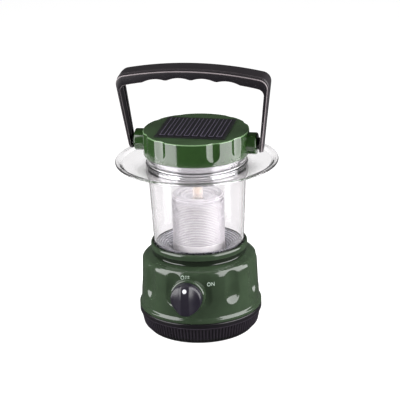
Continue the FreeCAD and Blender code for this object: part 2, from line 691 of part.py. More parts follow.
def make_globe():
    """Clear tapered chimney with a flat brim that ends in an upturned lip."""
    low = brim_z
    high = brim_z + BRIM_THICKNESS
    middle = (BRIM_FLAT_RADIUS + BRIM_RADIUS) / 2
    return turned([
        (GLOBE_FOOT_RADIUS - GLOBE_WALL, ledge_z),
        (GLOBE_FOOT_RADIUS, ledge_z),
        (globe_radius(low), low),
        (BRIM_FLAT_RADIUS, low),
        (BRIM_RADIUS, low + LIP_RISE),
        (BRIM_RADIUS, high + LIP_EDGE_RISE),
        (middle, high + LIP_RISE),
        (BRIM_FLAT_RADIUS, high),
        (globe_radius(high), high),
        (GLOBE_TOP_RADIUS, globe_top_z),
        (GLOBE_TOP_RADIUS - GLOBE_WALL, globe_top_z),
    ])


def make_lower_reflector():
    """Bright dish that falls in steps from the globe's foot to the lens."""
    rim = GLOBE_FOOT_RADIUS - GLOBE_WALL - SLIP_FIT
    hub = LENS_RADIUS + SLIP_FIT
    rim_z = ledge_z + DISH_RISE
    foot_z = rim_z - DISH_DEPTH
    run = (rim - DISH_WALL - hub) / DISH_STEP_COUNT
    drop = DISH_DEPTH / DISH_STEP_COUNT
    upper = [(rim - DISH_WALL, rim_z)]
    for step in range(DISH_STEP_COUNT - 1):
        radius = rim - DISH_WALL - run * (step + 1)
        height = rim_z - drop * (step + 1)
        upper.append((radius, height))
        upper.append((radius, height - drop * DISH_TREAD))
    flange_z = deck_top_z + LENS_FLANGE_HEIGHT
    return turned(upper + [
        (hub, foot_z),
        (hub, flange_z),
        (hub + DISH_WALL, flange_z),
        (rim - DISH_WALL * 2, ledge_z),
        (rim, ledge_z),
        (rim, rim_z),
    ])


# ---- lens and lamp ---------------------------------------------------------------------
def make_prism_lens():
    """Clear tube with a stack of saw-tooth ribs under a slanting shoulder and a funnel."""
    foot_z = deck_top_z
    top_z = foot_z + LENS_HEIGHT
    flange = LENS_RADIUS + LENS_FLANGE_REACH
    flange_z = foot_z + LENS_FLANGE_HEIGHT
    ribs_from = foot_z + LENS_BAND
    pitch = (top_z - LENS_SHOULDER - ribs_from) / LENS_RIB_COUNT
    inside = LENS_RADIUS - LENS_RIB_DEPTH - LENS_WALL
    mouth = BULB_FLANGE_RADIUS + SLIP_FIT
    wall = [
        (inside, foot_z),
        (flange, foot_z),
        (flange, flange_z),
        (LENS_RADIUS, flange_z),
        (LENS_RADIUS, ribs_from),
    ]
    for rib in range(LENS_RIB_COUNT):
        rib_z = ribs_from + rib * pitch
        wall.append((LENS_RADIUS - LENS_RIB_DEPTH, rib_z))
        wall.append((LENS_RADIUS, rib_z + pitch))
    crown = [
        (LENS_RADIUS - LENS_SHOULDER, top_z),
    ]
    under = [
        (mouth, top_z - FUNNEL_DEPTH),
        (mouth, top_z - FUNNEL_DEPTH - LENS_WALL),
        (inside, top_z - FUNNEL_SHOULDER),
    ]
    return turned(wall + crown + under)


def lamp_z():
    """Height of the bulb's flange, level with the mouth of the lens's funnel."""
    return deck_top_z + LENS_HEIGHT - FUNNEL_DEPTH - LENS_WALL / 2


def make_lamp_post():
    """Post on the deck that holds the bulb socket up inside the lens."""
    socket_radius = BULB_BASE_RADIUS + RUNNING_FIT + SOCKET_WALL
    seat_z = lamp_z() - SOCKET_HEIGHT
    return turned([
        (WIRE_HOLE_RADIUS, deck_top_z),
        (POST_FOOT_RADIUS, deck_top_z),
        (POST_FOOT_RADIUS, deck_top_z + POST_FOOT_HEIGHT),
        (POST_RADIUS, deck_top_z + POST_FOOT_HEIGHT),
        (POST_RADIUS, seat_z + SOCKET_HEIGHT / 2),
        (socket_radius, seat_z + SOCKET_HEIGHT / 2),
        (socket_radius, seat_z),
        (WIRE_HOLE_RADIUS, seat_z),
    ])


def make_bulb_socket():
    """Thin metal cup round the bulb's base."""
    inside = BULB_BASE_RADIUS + RUNNING_FIT
    seat_z = lamp_z() - SOCKET_HEIGHT
    return turned([
        (WIRE_HOLE_RADIUS, seat_z),
        (inside + SOCKET_WALL, seat_z),
        (inside + SOCKET_WALL, lamp_z() - SOCKET_RIM_DROP),
        (inside, lamp_z() - SOCKET_RIM_DROP),
        (inside, seat_z + SOCKET_WALL),
        (WIRE_HOLE_RADIUS, seat_z + SOCKET_WALL),
    ])


def make_bulb_base():
    """Metal base with its flange and centre contact."""
    low_z = lamp_z() - BULB_BASE_HEIGHT
    return turned([
        (0, low_z - BULB_TIP_LENGTH),
        (BULB_BASE_RADIUS, low_z),
        (BULB_BASE_RADIUS, lamp_z()),
        (BULB_FLANGE_RADIUS, lamp_z()),
        (BULB_FLANGE_RADIUS, lamp_z() + BULB_FLANGE_HEIGHT),
        (0, lamp_z() + BULB_FLANGE_HEIGHT),
    ])


def make_bulb_glass():
    """Glass envelope with a bevelled crown."""
    low_z = lamp_z() + BULB_FLANGE_HEIGHT
    return turned([
        (0, low_z),
        (BULB_NECK_RADIUS, low_z),
        (BULB_RADIUS, low_z + BULB_NECK_HEIGHT),
        (BULB_RADIUS, low_z + BULB_HEIGHT, BULB_CROWN_BEVEL),
        (0, low_z + BULB_HEIGHT),
    ])


# ---- cap and upper reflector -----------------------------------------------------------
def make_top_cap():
    """Fluted cap with side bosses for the handle, a panel recess and screw posts."""
    seat = GLOBE_TOP_RADIUS + SLIP_FIT
    inside = cap_radius - CAP_WALL
    roof_z = cap_top_z - CAP_TOP_THICKNESS
    cap = turned([
        (seat, cap_z),
        (cap_radius, cap_z),
        (cap_radius, cap_top_z, CAP_BEVEL),
        (0, cap_top_z),
        (0, roof_z),
        (inside, roof_z),
        (inside, globe_top_z + CAP_SEAT_GAP),
        (seat, globe_top_z + CAP_SEAT_GAP),
    ])
    flute = flute_tool(cap_radius, CAP_FLUTE_WIDTH, CAP_FLUTE_DEPTH, cap_z + CAP_FLUTE_FOOT,
                       cap_top_z + CAP_TOP_THICKNESS)
    flute_angles = [angle for angle in even_angles(FLUTE_COUNT) if angle % 90]
    cap = cap.cut(ring_of(flute, flute_angles))
    boss_face = cap_radius + PIVOT_BOSS_REACH
    boss = Part.makeCylinder(PIVOT_BOSS_RADIUS, boss_face - inside, V(inside, 0, pivot_z), AXIS_X)
    boss = boss.makeChamfer(CAP_BEVEL, [edge for edge in boss.Edges
                                        if edge.BoundBox.XMin > cap_radius])
    boss = boss.cut(Part.makeCylinder(cap_radius - PIVOT_BOSS_ROOT, CAP_HEIGHT * 2,
                                      V(0, 0, cap_z - CAP_HEIGHT)))
    inner_boss = Part.makeCylinder(CLIP_RADIUS, CAP_WALL,
                                   V(inside - INNER_BOSS_REACH, 0, pivot_z), AXIS_X)
    bore = Part.makeCylinder(PIVOT_PIN_RADIUS + RUNNING_FIT, boss_face,
                             V(inside - CAP_WALL, 0, pivot_z), AXIS_X)
    globe_inside = GLOBE_TOP_RADIUS - GLOBE_WALL - SLIP_FIT
    globe_room = tube(seat, globe_inside, cap_z, globe_top_z + CAP_SEAT_GAP)
    inner_boss = inner_boss.cut(globe_room)
    cap = cap.fuse([boss, mirrored(boss), inner_boss, mirrored(inner_boss)])
    cap = cap.cut([bore, mirrored(bore)])
    recess = block(PANEL_WIDTH + SLIP_FIT * 2, PANEL_DEPTH + SLIP_FIT * 2,
                   cap_top_z - PANEL_RECESS, cap_top_z)
    slot = block(PANEL_WIRE_SLOT * 2, PANEL_WIRE_SLOT, roof_z, cap_top_z)
    cap = cap.cut([recess, slot])
    post_z = upper_roof_z() + REFLECTOR_WALL
    for angle in even_angles(CAP_SCREW_COUNT, 90):
        post = Part.makeCylinder(CAP_POST_RADIUS, roof_z + CAP_TOP_THICKNESS / 2 - post_z,
                                 V(CAP_SCREW_CIRCLE, 0, post_z))
        pilot = Part.makeCylinder(SCREW_RADIUS, SCREW_LENGTH, V(CAP_SCREW_CIRCLE, 0, post_z))
        cap = cap.fuse(turned_to(post, angle)).cut(turned_to(pilot, angle))
    return cap


def upper_roof_z():
    """Underside of the upper reflector's flat roof."""
    return cap_z - REFLECTOR_DROP + REFLECTOR_ROOF_RISE


def make_upper_reflector():
    """Bright inverted dish under the cap, with a side wall that follows the globe."""
    rim_z = cap_z - REFLECTOR_DROP
    wall_top_z = cap_z + REFLECTOR_WALL_RISE
    rim = globe_radius(rim_z) - GLOBE_WALL - SLIP_FIT
    top = globe_radius(wall_top_z) - GLOBE_WALL - SLIP_FIT
    roof_z = upper_roof_z()
    dish = turned([
        (0, roof_z),
        (REFLECTOR_ROOF_RADIUS, roof_z),
        (rim, rim_z),
        (top, wall_top_z),
        (top - REFLECTOR_WALL, wall_top_z),
        (rim - REFLECTOR_FOLD_WIDTH, rim_z + REFLECTOR_FOLD_HEIGHT),
        (REFLECTOR_ROOF_RADIUS + REFLECTOR_ROOF_LAP, roof_z + REFLECTOR_WALL),
        (0, roof_z + REFLECTOR_WALL),
    ])
    hole = Part.makeCylinder(SCREW_RADIUS, REFLECTOR_WALL * 2, V(CAP_SCREW_CIRCLE, 0, roof_z))
    return dish.cut(ring_of(hole, even_angles(CAP_SCREW_COUNT, 90)))


def make_cap_screws():
    """Three screws from below through the reflector into the cap's posts."""
    head_z = upper_roof_z()
    one = screw(head_z + SCREW_LENGTH, head_z, CAP_SCREW_CIRCLE, 0)
    return ring_of(one, even_angles(CAP_SCREW_COUNT, 90))


# ---- solar panel -----------------------------------------------------------------------
def panel_z():
    """Underside of the panel's board."""
    return cap_top_z - PANEL_RECESS


def make_solar_board():
    """Black backing board of the panel."""
    return block(PANEL_WIDTH, PANEL_DEPTH, panel_z(), panel_z() + PANEL_THICKNESS)


def make_solar_cells():
    """Eight narrow cells side by side on the board."""
    inside = PANEL_WIDTH - PANEL_BORDER * 2
    length = PANEL_DEPTH - PANEL_BORDER * 2
    width = (inside - STRIP_GAP * (CELL_STRIP_COUNT - 1)) / CELL_STRIP_COUNT
    strips = []
    for index in range(CELL_STRIP_COUNT):
        x = -inside / 2 + index * (width + STRIP_GAP)
        strips.append(Part.makeBox(width, length, STRIP_THICKNESS,
                                   V(x, -length / 2, panel_z() + PANEL_THICKNESS)))
    return Part.makeCompound(strips)


def make_panel_diode():
    """Blocking diode soldered under the board, inside the wire slot."""
    bead = Part.makeCylinder(DIODE_RADIUS, DIODE_LENGTH,
                             V(-DIODE_LENGTH / 2, 0, panel_z() - DIODE_DROP), AXIS_X)
    for side in (-1, 1):
        lead = Part.makeBox(LEAD_LENGTH, LEAD_WIDTH, DIODE_DROP,
                            V(side * LEAD_SPACING / 2 - LEAD_LENGTH / 2, -LEAD_WIDTH / 2,
                              panel_z() - DIODE_DROP))
        bead = bead.fuse(lead)
    return bead


# ---- handle ----------------------------------------------------------------------------
def handle_outline(inset):
    """Outer silhouette of the handle as a filled shape about its pivot line."""
    foot = arm_x + ARM_THICKNESS - inset
    shoulder = foot + HANDLE_SPREAD
    top = HANDLE_REACH - inset
    side_z = top - HANDLE_ARCH
    low = -ARM_END_RADIUS * 2
    slant = HANDLE_SPREAD / side_z
    radius = (shoulder ** 2 + HANDLE_ARCH ** 2) / (2 * HANDLE_ARCH)
    arch = Part.makeCylinder(radius, HANDLE_WIDTH * 2, V(0, -HANDLE_WIDTH, top - radius), AXIS_Y)
    side = plate([
        (-foot + slant * -low, low),
        (foot - slant * -low, low),
        (foot + slant * (top + HANDLE_WIDTH), top + HANDLE_WIDTH),
        (-foot - slant * (top + HANDLE_WIDTH), top + HANDLE_WIDTH),
    ], -HANDLE_WIDTH, HANDLE_WIDTH)
    body = arch.common(side)
    corners = [edge for edge in body.Edges if edge.BoundBox.YLength > HANDLE_WIDTH
               and edge.BoundBox.ZMin > side_z / 2 and abs(edge.BoundBox.XMin) > foot / 2]
    return body.makeFillet(HANDLE_CORNER - inset, corners)


def hand_space():
    """Space inside the handle: straight arms, an arched roof and finger crests."""
    foot = arm_x
    spread = HANDLE_SPREAD - ARM_THICKENING
    top = HANDLE_REACH - GRIP_THICKNESS
    slant = spread / (top - HANDLE_ARCH)
    low = -ARM_END_RADIUS * 3
    radius = ((foot + spread) ** 2 + HANDLE_ARCH ** 2) / (2 * HANDLE_ARCH)
    roof = Part.makeCylinder(radius, HANDLE_WIDTH * 2, V(0, -HANDLE_WIDTH, top - radius), AXIS_Y)
    side = plate([
        (-foot - slant * low, low),
        (foot + slant * low, low),
        (foot + slant * (top + HANDLE_WIDTH), top + HANDLE_WIDTH),
        (-foot - slant * (top + HANDLE_WIDTH), top + HANDLE_WIDTH),
    ], -HANDLE_WIDTH, HANDLE_WIDTH)
    body = roof.common(side)
    corners = [edge for edge in body.Edges if edge.BoundBox.YLength > HANDLE_WIDTH
               and edge.BoundBox.ZMin > top / 2 and abs(edge.BoundBox.XMin) > foot / 2]
    body = body.makeFillet(HANDLE_INNER_CORNER, corners)
    half_chord = (FINGER_PITCH - FINGER_GAP) / 2
    finger_radius = (half_chord ** 2 + FINGER_DEPTH ** 2) / (2 * FINGER_DEPTH)
    for index in range(FINGER_COUNT):
        x = (index - (FINGER_COUNT - 1) / 2) * FINGER_PITCH
        roof_z = top - radius + math.sqrt(radius ** 2 - x ** 2)
        finger = Part.makeCylinder(finger_radius, HANDLE_WIDTH * 2,
                                   V(x, -HANDLE_WIDTH, roof_z + FINGER_DEPTH - finger_radius), AXIS_Y)
        body = body.fuse(finger.common(block(top * 4, HANDLE_WIDTH * 3, top - HANDLE_ARCH, top * 2)))
    return body


def handle_side(inset, reach):
    """Side view of the handle, wider towards the grip, rounded about the pivot."""
    end = ARM_END_RADIUS - inset
    half = HANDLE_WIDTH / 2 - inset
    wide_z = HANDLE_REACH - HANDLE_ARCH
    face = Part.Face(Part.makePolygon([
        V(0, -end, 0), V(0, -half, wide_z), V(0, -half, HANDLE_REACH + HANDLE_WIDTH),
        V(0, half, HANDLE_REACH + HANDLE_WIDTH), V(0, half, wide_z), V(0, end, 0), V(0, -end, 0)]))
    face.translate(V(-reach, 0, 0))
    body = face.extrude(V(reach * 2, 0, 0))
    return body.fuse(Part.makeCylinder(end, reach * 2, V(-reach, 0, 0), AXIS_X))


def make_handle():
    """Channel-section bail: skin outside, two flanges inside, ribs under the grip."""
    reach = arm_x + HANDLE_SPREAD + HANDLE_CORNER * 2
    blank = handle_outline(0).common(handle_side(0, reach))
    rim = [edge for edge in blank.Edges if on_handle_rim(edge)]
    blank = blank.makeChamfer(HANDLE_EDGE_BEVEL, rim)
    space = hand_space()
    pocket = handle_outline(HANDLE_SKIN).common(handle_side(HANDLE_FLANGE, reach))
    body = blank.cut(space).cut(pocket)
    ribs = []
    for index in range(FINGER_COUNT + 1):
        x = (index - FINGER_COUNT / 2) * FINGER_PITCH
        ribs.append(Part.makeBox(GRIP_RIB_WIDTH, HANDLE_WIDTH, HANDLE_REACH,
                                 V(x - GRIP_RIB_WIDTH / 2, -HANDLE_WIDTH / 2, HANDLE_REACH / 2)))
    fill = pocket.common(Part.makeCompound(ribs)).cut(space)
    discs = []
    for side in (0, 180):
        disc = Part.makeCylinder(PIVOT_DISC_RADIUS, ARM_THICKNESS, V(arm_x, 0, 0), AXIS_X)
        discs.append(turned_to(disc, side))
    body = body.fuse(fill.Solids + discs)
    hole = Part.makeCylinder(PIVOT_PIN_RADIUS, reach * 2, V(-reach, 0, 0), AXIS_X)
    body = body.cut(hole)
    body.rotate(ORIGIN, AXIS_X, HANDLE_LEAN)
    body.translate(V(0, 0, pivot_z))
    return body


def on_handle_rim(edge):
    """True for the long outside edges of the handle's blank."""
    box = edge.BoundBox
    flat = box.YLength < box.DiagonalLength / 2
    return flat and box.ZMax > HANDLE_EDGE_BEVEL and box.XLength > HANDLE_EDGE_BEVEL / 2


def make_pivot_pin():
    """Right-hand pivot: a disc between boss and arm, and a pin through both."""
    disc = Part.makeCylinder(PIVOT_DISC_RADIUS, arm_x - pin_disc_x, V(pin_disc_x, 0, pivot_z),
                             AXIS_X)
    pin = Part.makeCylinder(PIVOT_PIN_RADIUS, arm_x + ARM_THICKNESS - clip_x,
                            V(clip_x, 0, pivot_z), AXIS_X)
    return disc.fuse(pin)


def make_pivot_clips():
    """Spring clips on the inner ends of both pins."""
    clip = Part.makeCylinder(CLIP_RADIUS, CLIP_THICKNESS, V(clip_x, 0, pivot_z), AXIS_X)
    clip = clip.cut(Part.makeCylinder(PIVOT_PIN_RADIUS, CLIP_THICKNESS, V(clip_x, 0, pivot_z),
                                      AXIS_X))
    return Part.makeCompound([clip, mirrored(clip)])


# ---- charging board --------------------------------------------------------------------
def make_charge_board():
    """Upright circuit board on the two pads at the back of the housing."""
    board = Part.makeBox(BOARD_WIDTH, BOARD_THICKNESS, BOARD_HEIGHT,
                         V(-BOARD_WIDTH / 2, board_distance - BOARD_THICKNESS,
                           KNOB_HEIGHT - BOARD_HEIGHT / 2))
    for side in (-1, 1):
        hole = Part.makeCylinder(SCREW_RADIUS, BOARD_THICKNESS,
                                 V(side * BOARD_SCREW_OFFSET, board_distance - BOARD_THICKNESS,
                                   KNOB_HEIGHT), AXIS_Y)
        board = board.cut(hole)
    return board


def make_board_parts():
    """Capacitor, diode and resistor on the board's inner face."""
    face_y = board_distance - BOARD_THICKNESS
    pieces = [Part.makeCylinder(CAN_RADIUS, CAN_LENGTH,
                                V(0, face_y - CAN_LENGTH, KNOB_HEIGHT + CAN_RISE), AXIS_Y)]
    for width, depth, height, drop in (RECTIFIER_SIZE, RESISTOR_SIZE):
        pieces.append(Part.makeBox(width, depth, height,
                                   V(-width / 2, face_y - depth, KNOB_HEIGHT - drop)))
    return Part.makeCompound(pieces)


def make_board_screws():
    """Two screws through the board into its pads."""
    face_y = board_distance - BOARD_THICKNESS
    screws = []
    for side in (-1, 1):
        one = screw(SCREW_LENGTH - SCREW_TIP_GAP, 0, 0, 0)
        one.rotate(ORIGIN, AXIS_X, -90)
        one.translate(V(side * BOARD_SCREW_OFFSET, face_y, KNOB_HEIGHT))
        screws.append(one)
    return Part.makeCompound(screws)


NODES = {
    "battery_cover": make_battery_cover,
    "cover_seal": make_cover_seal,
    "base_housing": make_base_housing,
    "battery_holder": make_battery_holder,
    "battery_cells": make_battery_cells,
    "upper_contacts": make_upper_contacts,
    "lower_contacts": make_lower_contacts,
    "contact_tray": make_contact_tray,
    "holder_screws": make_holder_screws,
    "switch_body": make_switch_body,
    "switch_nut": make_switch_nut,
    "switch_shaft": make_switch_shaft,
    "knob": make_knob,
    "knob_pointer": make_knob_pointer,
    "charge_board": make_charge_board,
    "board_parts": make_board_parts,
    "board_screws": make_board_screws,
    "globe_collar": make_globe_collar,
    "globe": make_globe,
    "lower_reflector": make_lower_reflector,
    "prism_lens": make_prism_lens,
    "lamp_post": make_lamp_post,
    "bulb_socket": make_bulb_socket,
    "bulb_base": make_bulb_base,
    "bulb_glass": make_bulb_glass,
    "top_cap": make_top_cap,
    "upper_reflector": make_upper_reflector,
    "cap_screws": make_cap_screws,
    "solar_board": make_solar_board,
    "solar_cells": make_solar_cells,
    "panel_diode": make_panel_diode,
    "handle": make_handle,
    "pivot_pin_right": make_pivot_pin,
    "pivot_pin_left": lambda: mirrored(make_pivot_pin()),
    "pivot_clips": make_pivot_clips,
}

os.makedirs("parts", exist_ok=True)
for node, make in NODES.items():
    make().exportStep(f"parts/{node}.step")
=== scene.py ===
"""Looks of a solar camping lantern: green moulded base and cap, black twist-off cover, clear
globe over a ribbed lens and small bulb, solar cells on top and a channel-section carry handle.

Metres, in the frame's own axes. Angles round the lantern start at its front (-Y) and grow
towards +X. Profiles are written in millimetres and scaled once.
"""

import math

import bmesh
import bpy
import numpy as np
from mathutils import Matrix, Vector


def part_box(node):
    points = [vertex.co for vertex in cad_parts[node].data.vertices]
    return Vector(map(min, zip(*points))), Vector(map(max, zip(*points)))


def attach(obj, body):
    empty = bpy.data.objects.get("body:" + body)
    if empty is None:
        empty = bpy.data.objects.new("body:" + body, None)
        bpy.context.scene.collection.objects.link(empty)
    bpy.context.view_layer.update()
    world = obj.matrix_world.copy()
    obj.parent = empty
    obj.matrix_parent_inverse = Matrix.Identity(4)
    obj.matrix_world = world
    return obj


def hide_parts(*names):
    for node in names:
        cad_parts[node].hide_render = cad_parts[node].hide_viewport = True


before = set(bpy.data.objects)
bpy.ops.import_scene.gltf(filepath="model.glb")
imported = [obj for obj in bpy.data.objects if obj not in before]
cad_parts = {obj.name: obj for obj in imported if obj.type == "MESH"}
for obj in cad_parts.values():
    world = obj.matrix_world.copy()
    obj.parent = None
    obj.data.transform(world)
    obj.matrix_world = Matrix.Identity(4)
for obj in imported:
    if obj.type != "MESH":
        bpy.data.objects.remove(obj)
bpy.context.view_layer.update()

MM = 0.001
TURN = 2 * math.pi


def top_of(node):
    """Height of a node's upper end, in millimetres."""
    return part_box(node)[1][2] / MM


def foot_of(node):
    """Height of a node's lower end, in millimetres."""
    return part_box(node)[0][2] / MM


def reach_of(node):
    """Furthest a node reaches along X, in millimetres."""
    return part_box(node)[1][0] / MM


# ---- sizes read from the frame, in millimetres
base_radius = reach_of("battery_cover")
spigot_top = top_of("battery_cover")
housing_foot = foot_of("base_housing")
neck_top = top_of("base_housing")
deck_top = foot_of("prism_lens")
collar_top = top_of("globe_collar")
globe_foot = foot_of("globe")
globe_top = top_of("globe")
brim_radius = reach_of("globe")
lens_top = top_of("prism_lens")
cap_foot = foot_of("top_cap")
cap_top = top_of("top_cap")
boss_reach = reach_of("top_cap")
knob_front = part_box("knob")[0][1] / MM
knob_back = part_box("knob")[1][1] / MM
knob_height = (foot_of("knob") + top_of("knob")) / 2
knob_radius = reach_of("knob")
pivot_height = (foot_of("pivot_pin_right") + top_of("pivot_pin_right")) / 2
boss_front = knob_back + 0.3

# ---- sizes that only the looks need, in millimetres
GROOVES = 112
GROOVE_DEPTH = 0.75
BAND_FOOT = 13.2
BAND_TOP = 17.0
COVER_FLOOR = 2.6
SPIGOT_RADIUS = 41.3
RECESS_RADIUS = 41.6
BORE_RADIUS = 39.1
WAIST_RADIUS = 43.5
SHOULDER_RADIUS = 42.1
NECK_RADIUS = 33.5
NECK_BORE = 31.5
COLLAR_RADIUS = 35.3
COLLAR_BORE = 29.65
FLUTES = 12
BASE_HOLLOW_WIDTH = 12.6
BASE_HOLLOW_DEPTH = 1.8
BASE_HOLLOW_WALL = 42.8
BASE_HOLLOW_FOOT = 30.2
SWITCH_BOSS_RADIUS = 12.7
SWITCH_BOSS_BORE = 8.0
SWITCH_BOSS_ROOT = 36.6
SWITCH_BOSS_FLOOR = 42.8
SHAFT_BORE = 3.46
KNOB_DOME = 40
KNOB_EDGE = 1.3
KNOB_SCOOP = 11.8
KNOB_SCOOP_AWAY = 12.25
KNOB_SCOOP_DROP = 7.54
DOT_RADIUS = 1.6
DOT_DEPTH = 0.8
GLOBE_WALL = 2.0
GLOBE_FOOT_RADIUS = 32.8
GLOBE_TOP_RADIUS = 36.4
BRIM_WALL = 1.5
BRIM_BEND_RADIUS = 54.3
LENS_RADIUS = 19.0
LENS_FLANGE_RADIUS = 21.4
LENS_BORE = 16.1
LENS_FUNNEL_RADIUS = 16.0
LENS_RIBS = 26
LENS_RIB_DEPTH = 0.55
LENS_BAND = 8.5
LENS_LIP = 3.0
LENS_RIBS_FROM = deck_top + LENS_BAND
LENS_RIB_PITCH = (lens_top - LENS_LIP - LENS_RIBS_FROM) / LENS_RIBS
DISH_RINGS = 7
DISH_LIP = 1.0
DISH_HUB = LENS_RADIUS + 0.3
DISH_PITCH = (reach_of("lower_reflector") - DISH_LIP - DISH_HUB) / DISH_RINGS
SHADE_RISE = 3.8
SHADE_ROOF_RADIUS = 22.0
BULB_NECK = 1.4
BULB_RADIUS = 3.9
BULB_BASE_RADIUS = 4.6
FILAMENT_RISE = 7.4
FILAMENT_COILS = 13
FILAMENT_COIL_RADIUS = 0.28
WIRE_SIDES = 10
CAP_RADIUS = 38.3
CAP_WALL = 1.65
CAP_ROOF = 2.4
CAP_LEDGE_BORE = 34.7
CAP_HOLLOW_WIDTH = 9.4
CAP_HOLLOW_DEPTH = 1.3
CAP_HOLLOW_RISE = 3.6
KNUCKLE_RADIUS = 7.9
KNUCKLE_ROOT = 33.5
KNUCKLE_FLOOR = 41.0
PIN_RADIUS = 2.4
PIN_DISC_RADIUS = 4.4
PIN_DISC_FACE = 45.0
PIN_INNER_END = 30.6
PIN_OUTER_END = 49.4
LEGEND_SIZE = 3.5
LEGEND_STRETCH = 1.2
LEGEND_THICKNESS = 0.05


def put(name, data):
    """New object of the scene round a mesh, light or camera."""
    made = bpy.data.objects.new(name, data)
    bpy.context.scene.collection.objects.link(made)
    return made


# ---- materials
def arithmetic(operation, swapped=False):
    """Method of an Amount that adds one Math node for two values."""
    if swapped:
        return lambda amount, other: amount.maths(operation, other, amount)
    return lambda amount, other: amount.maths(operation, amount, other)


class Amount:
    """A socket in a material; arithmetic on it adds Math nodes."""

    def __init__(self, paint, socket):
        self.paint = paint
        self.socket = socket

    def maths(self, operation, *values):
        return self.paint.add("Math", {"operation": operation}, dict(enumerate(values)))

    def __abs__(self):
        return self.maths("ABSOLUTE", self)

    __add__ = __radd__ = arithmetic("ADD")
    __mul__ = __rmul__ = arithmetic("MULTIPLY")
    __sub__ = arithmetic("SUBTRACT")
    __rsub__ = arithmetic("SUBTRACT", swapped=True)
    __truediv__ = arithmetic("DIVIDE")
    __rtruediv__ = arithmetic("DIVIDE", swapped=True)
    __pow__ = arithmetic("POWER")
    or_more = arithmetic("MAXIMUM")
    wrapped = arithmetic("FLOORED_MODULO")
    turn_from = arithmetic("ARCTAN2")

    def between(self, low, high):
        """0 below low, 1 above high, and a soft step from one to the other."""
        settings = {"interpolation_type": "SMOOTHSTEP"}
        return self.paint.add("MapRange", settings, {"Value": self, "From Min": low, "From Max": high})


class Paint:
    """A material round one Principled shader, with whatever nodes its surface needs."""

    def __init__(self, name, **fixed):
        self.material = bpy.data.materials.new(name)
        self.material.use_nodes = True
        self.tree = self.material.node_tree
        self.tree.nodes.clear()
        self.shader = self.tree.nodes.new("ShaderNodeBsdfPrincipled")
        self.out = self.tree.nodes.new("ShaderNodeOutputMaterial")
        self.tree.links.new(self.shader.outputs[0], self.out.inputs["Surface"])
        for socket, value in fixed.items():
            self.shader.inputs[socket.replace("_", " ")].default_value = value

    def add(self, kind, settings=None, sockets=None, out=0):
        """One node of any kind: its settings first, then the values or links of its sockets."""
        node = self.tree.nodes.new("ShaderNode" + kind)
        for name, value in (settings or {}).items():
            setattr(node, name, value)
        for name, value in (sockets or {}).items():
            self.feed(node.inputs[name], value)
        return Amount(self, node.outputs[out])

    def feed(self, socket, value):
        """A link where the value is an Amount, otherwise a fixed value."""
        if isinstance(value, Amount):
            self.tree.links.new(value.socket, socket)
        else:
            socket.default_value = value

    def place(self):
        """Object coordinates."""
        return self.add("TexCoord", out="Object")

    def along(self, axis):
        """Object coordinate along X, Y or Z, in millimetres."""
        return self.add("SeparateXYZ", None, {0: self.place()}, out=axis) / MM

    def out_from_axis(self):
        """Distance from the lantern's upright axis, in millimetres."""
        x, y = self.along("X"), self.along("Y")
        return (x * x + y * y) ** 0.5

    def slant(self):
        """0 where the surface is met square on, growing to 1 where it is grazed."""
        return self.add("LayerWeight", None, {"Blend": 0.5}, out="Facing")

    def edge_highlight(self):
        """Where a highlight is painted on the surface, from the piece's own attribute."""
        return self.add("Attribute", {"attribute_name": "painted_edge_highlight"}, out="Fac")

    def open_way(self, tint):
        """Light let straight through, tinted."""
        return self.add("BsdfTransparent", None, {"Color": tint})

    def mixed(self, share, first, second):
        """Shader between two shaders."""
        return self.add("MixShader", None, {0: share, 1: first, 2: second})

    def noise(self, scale, detail):
        """Cloudy pattern from 0 to 1 with about scale lumps to the metre."""
        return self.add("TexNoise", None, {"Vector": self.place(), "Scale": scale, "Detail": detail})

    def blend(self, amount, first, second):
        """Colour between two colours."""
        sockets = {"Factor": amount, 6: first, 7: second}
        return self.add("Mix", {"data_type": "RGBA"}, sockets, out=2)

    def bumped(self, height, distance):
        """Normal from a height pattern, distance in millimetres."""
        return self.add("Bump", None, {"Height": height, "Distance": distance * MM, "Strength": 1.0})

    def body(self):
        """What the Principled shader makes."""
        return Amount(self, self.shader.outputs[0])

    def show(self, shader):
        """Final shader of the surface, where it isn't the Principled shader alone."""
        self.feed(self.out.inputs["Surface"], shader)

    def colour(self, value):
        self.feed(self.shader.inputs["Base Color"], value)

    def glow(self, value):
        self.feed(self.shader.inputs["Emission Color"], value)

    def roughness(self, value):
        self.feed(self.shader.inputs["Roughness"], value)

    def normal(self, value):
        self.feed(self.shader.inputs["Normal"], value)


def shade(colour, factor):
    """A colour made lighter or darker."""
    return tuple(channel * factor for channel in colour) + (1.0,)


def ring_root(share, low, high):
    """1 at the end of each ring, falling to 0 inside it, from how far across the ring it is."""
    return 1 - abs(share - 0.5).between(low, high)


def moulded(name, colour, gloss_roughness, edge=None, shaded_recess=None, **fixed):
    """Injection-moulded plastic: slight clouding of its pigment and a faint flow in its skin. Where an
    edge colour is given, a painted highlight shows it along the piece's marked edges. Painted shade
    darkens what lies nearer the lantern's axis than a recess's radius."""
    paint = Paint(name, **fixed)
    clouds = paint.noise(45, 3)
    skin = paint.noise(260, 2)
    specks = paint.noise(2600, 1)
    pigment = paint.blend(clouds.between(0.3, 0.7), shade(colour, 0.86), shade(colour, 1.14))
    # Painted highlight: the edge colour along the piece's marked edges.
    if edge:
        pigment = paint.blend(paint.edge_highlight() * (0.5 + clouds), pigment, shade(edge, 1.0))
    # Painted shade: darker where the surface lies within the recess radius.
    if shaded_recess:
        unshaded = paint.out_from_axis().between(shaded_recess, shaded_recess + 1.3)
        pigment = paint.blend(unshaded, shade(colour, 0.3), pigment)
    paint.colour(pigment)
    paint.roughness(gloss_roughness + (skin - 0.5) * gloss_roughness * 0.5 + (specks - 0.5) * 0.05)
    paint.normal(paint.bumped(skin + specks * 0.2, 0.01))
    return paint.material


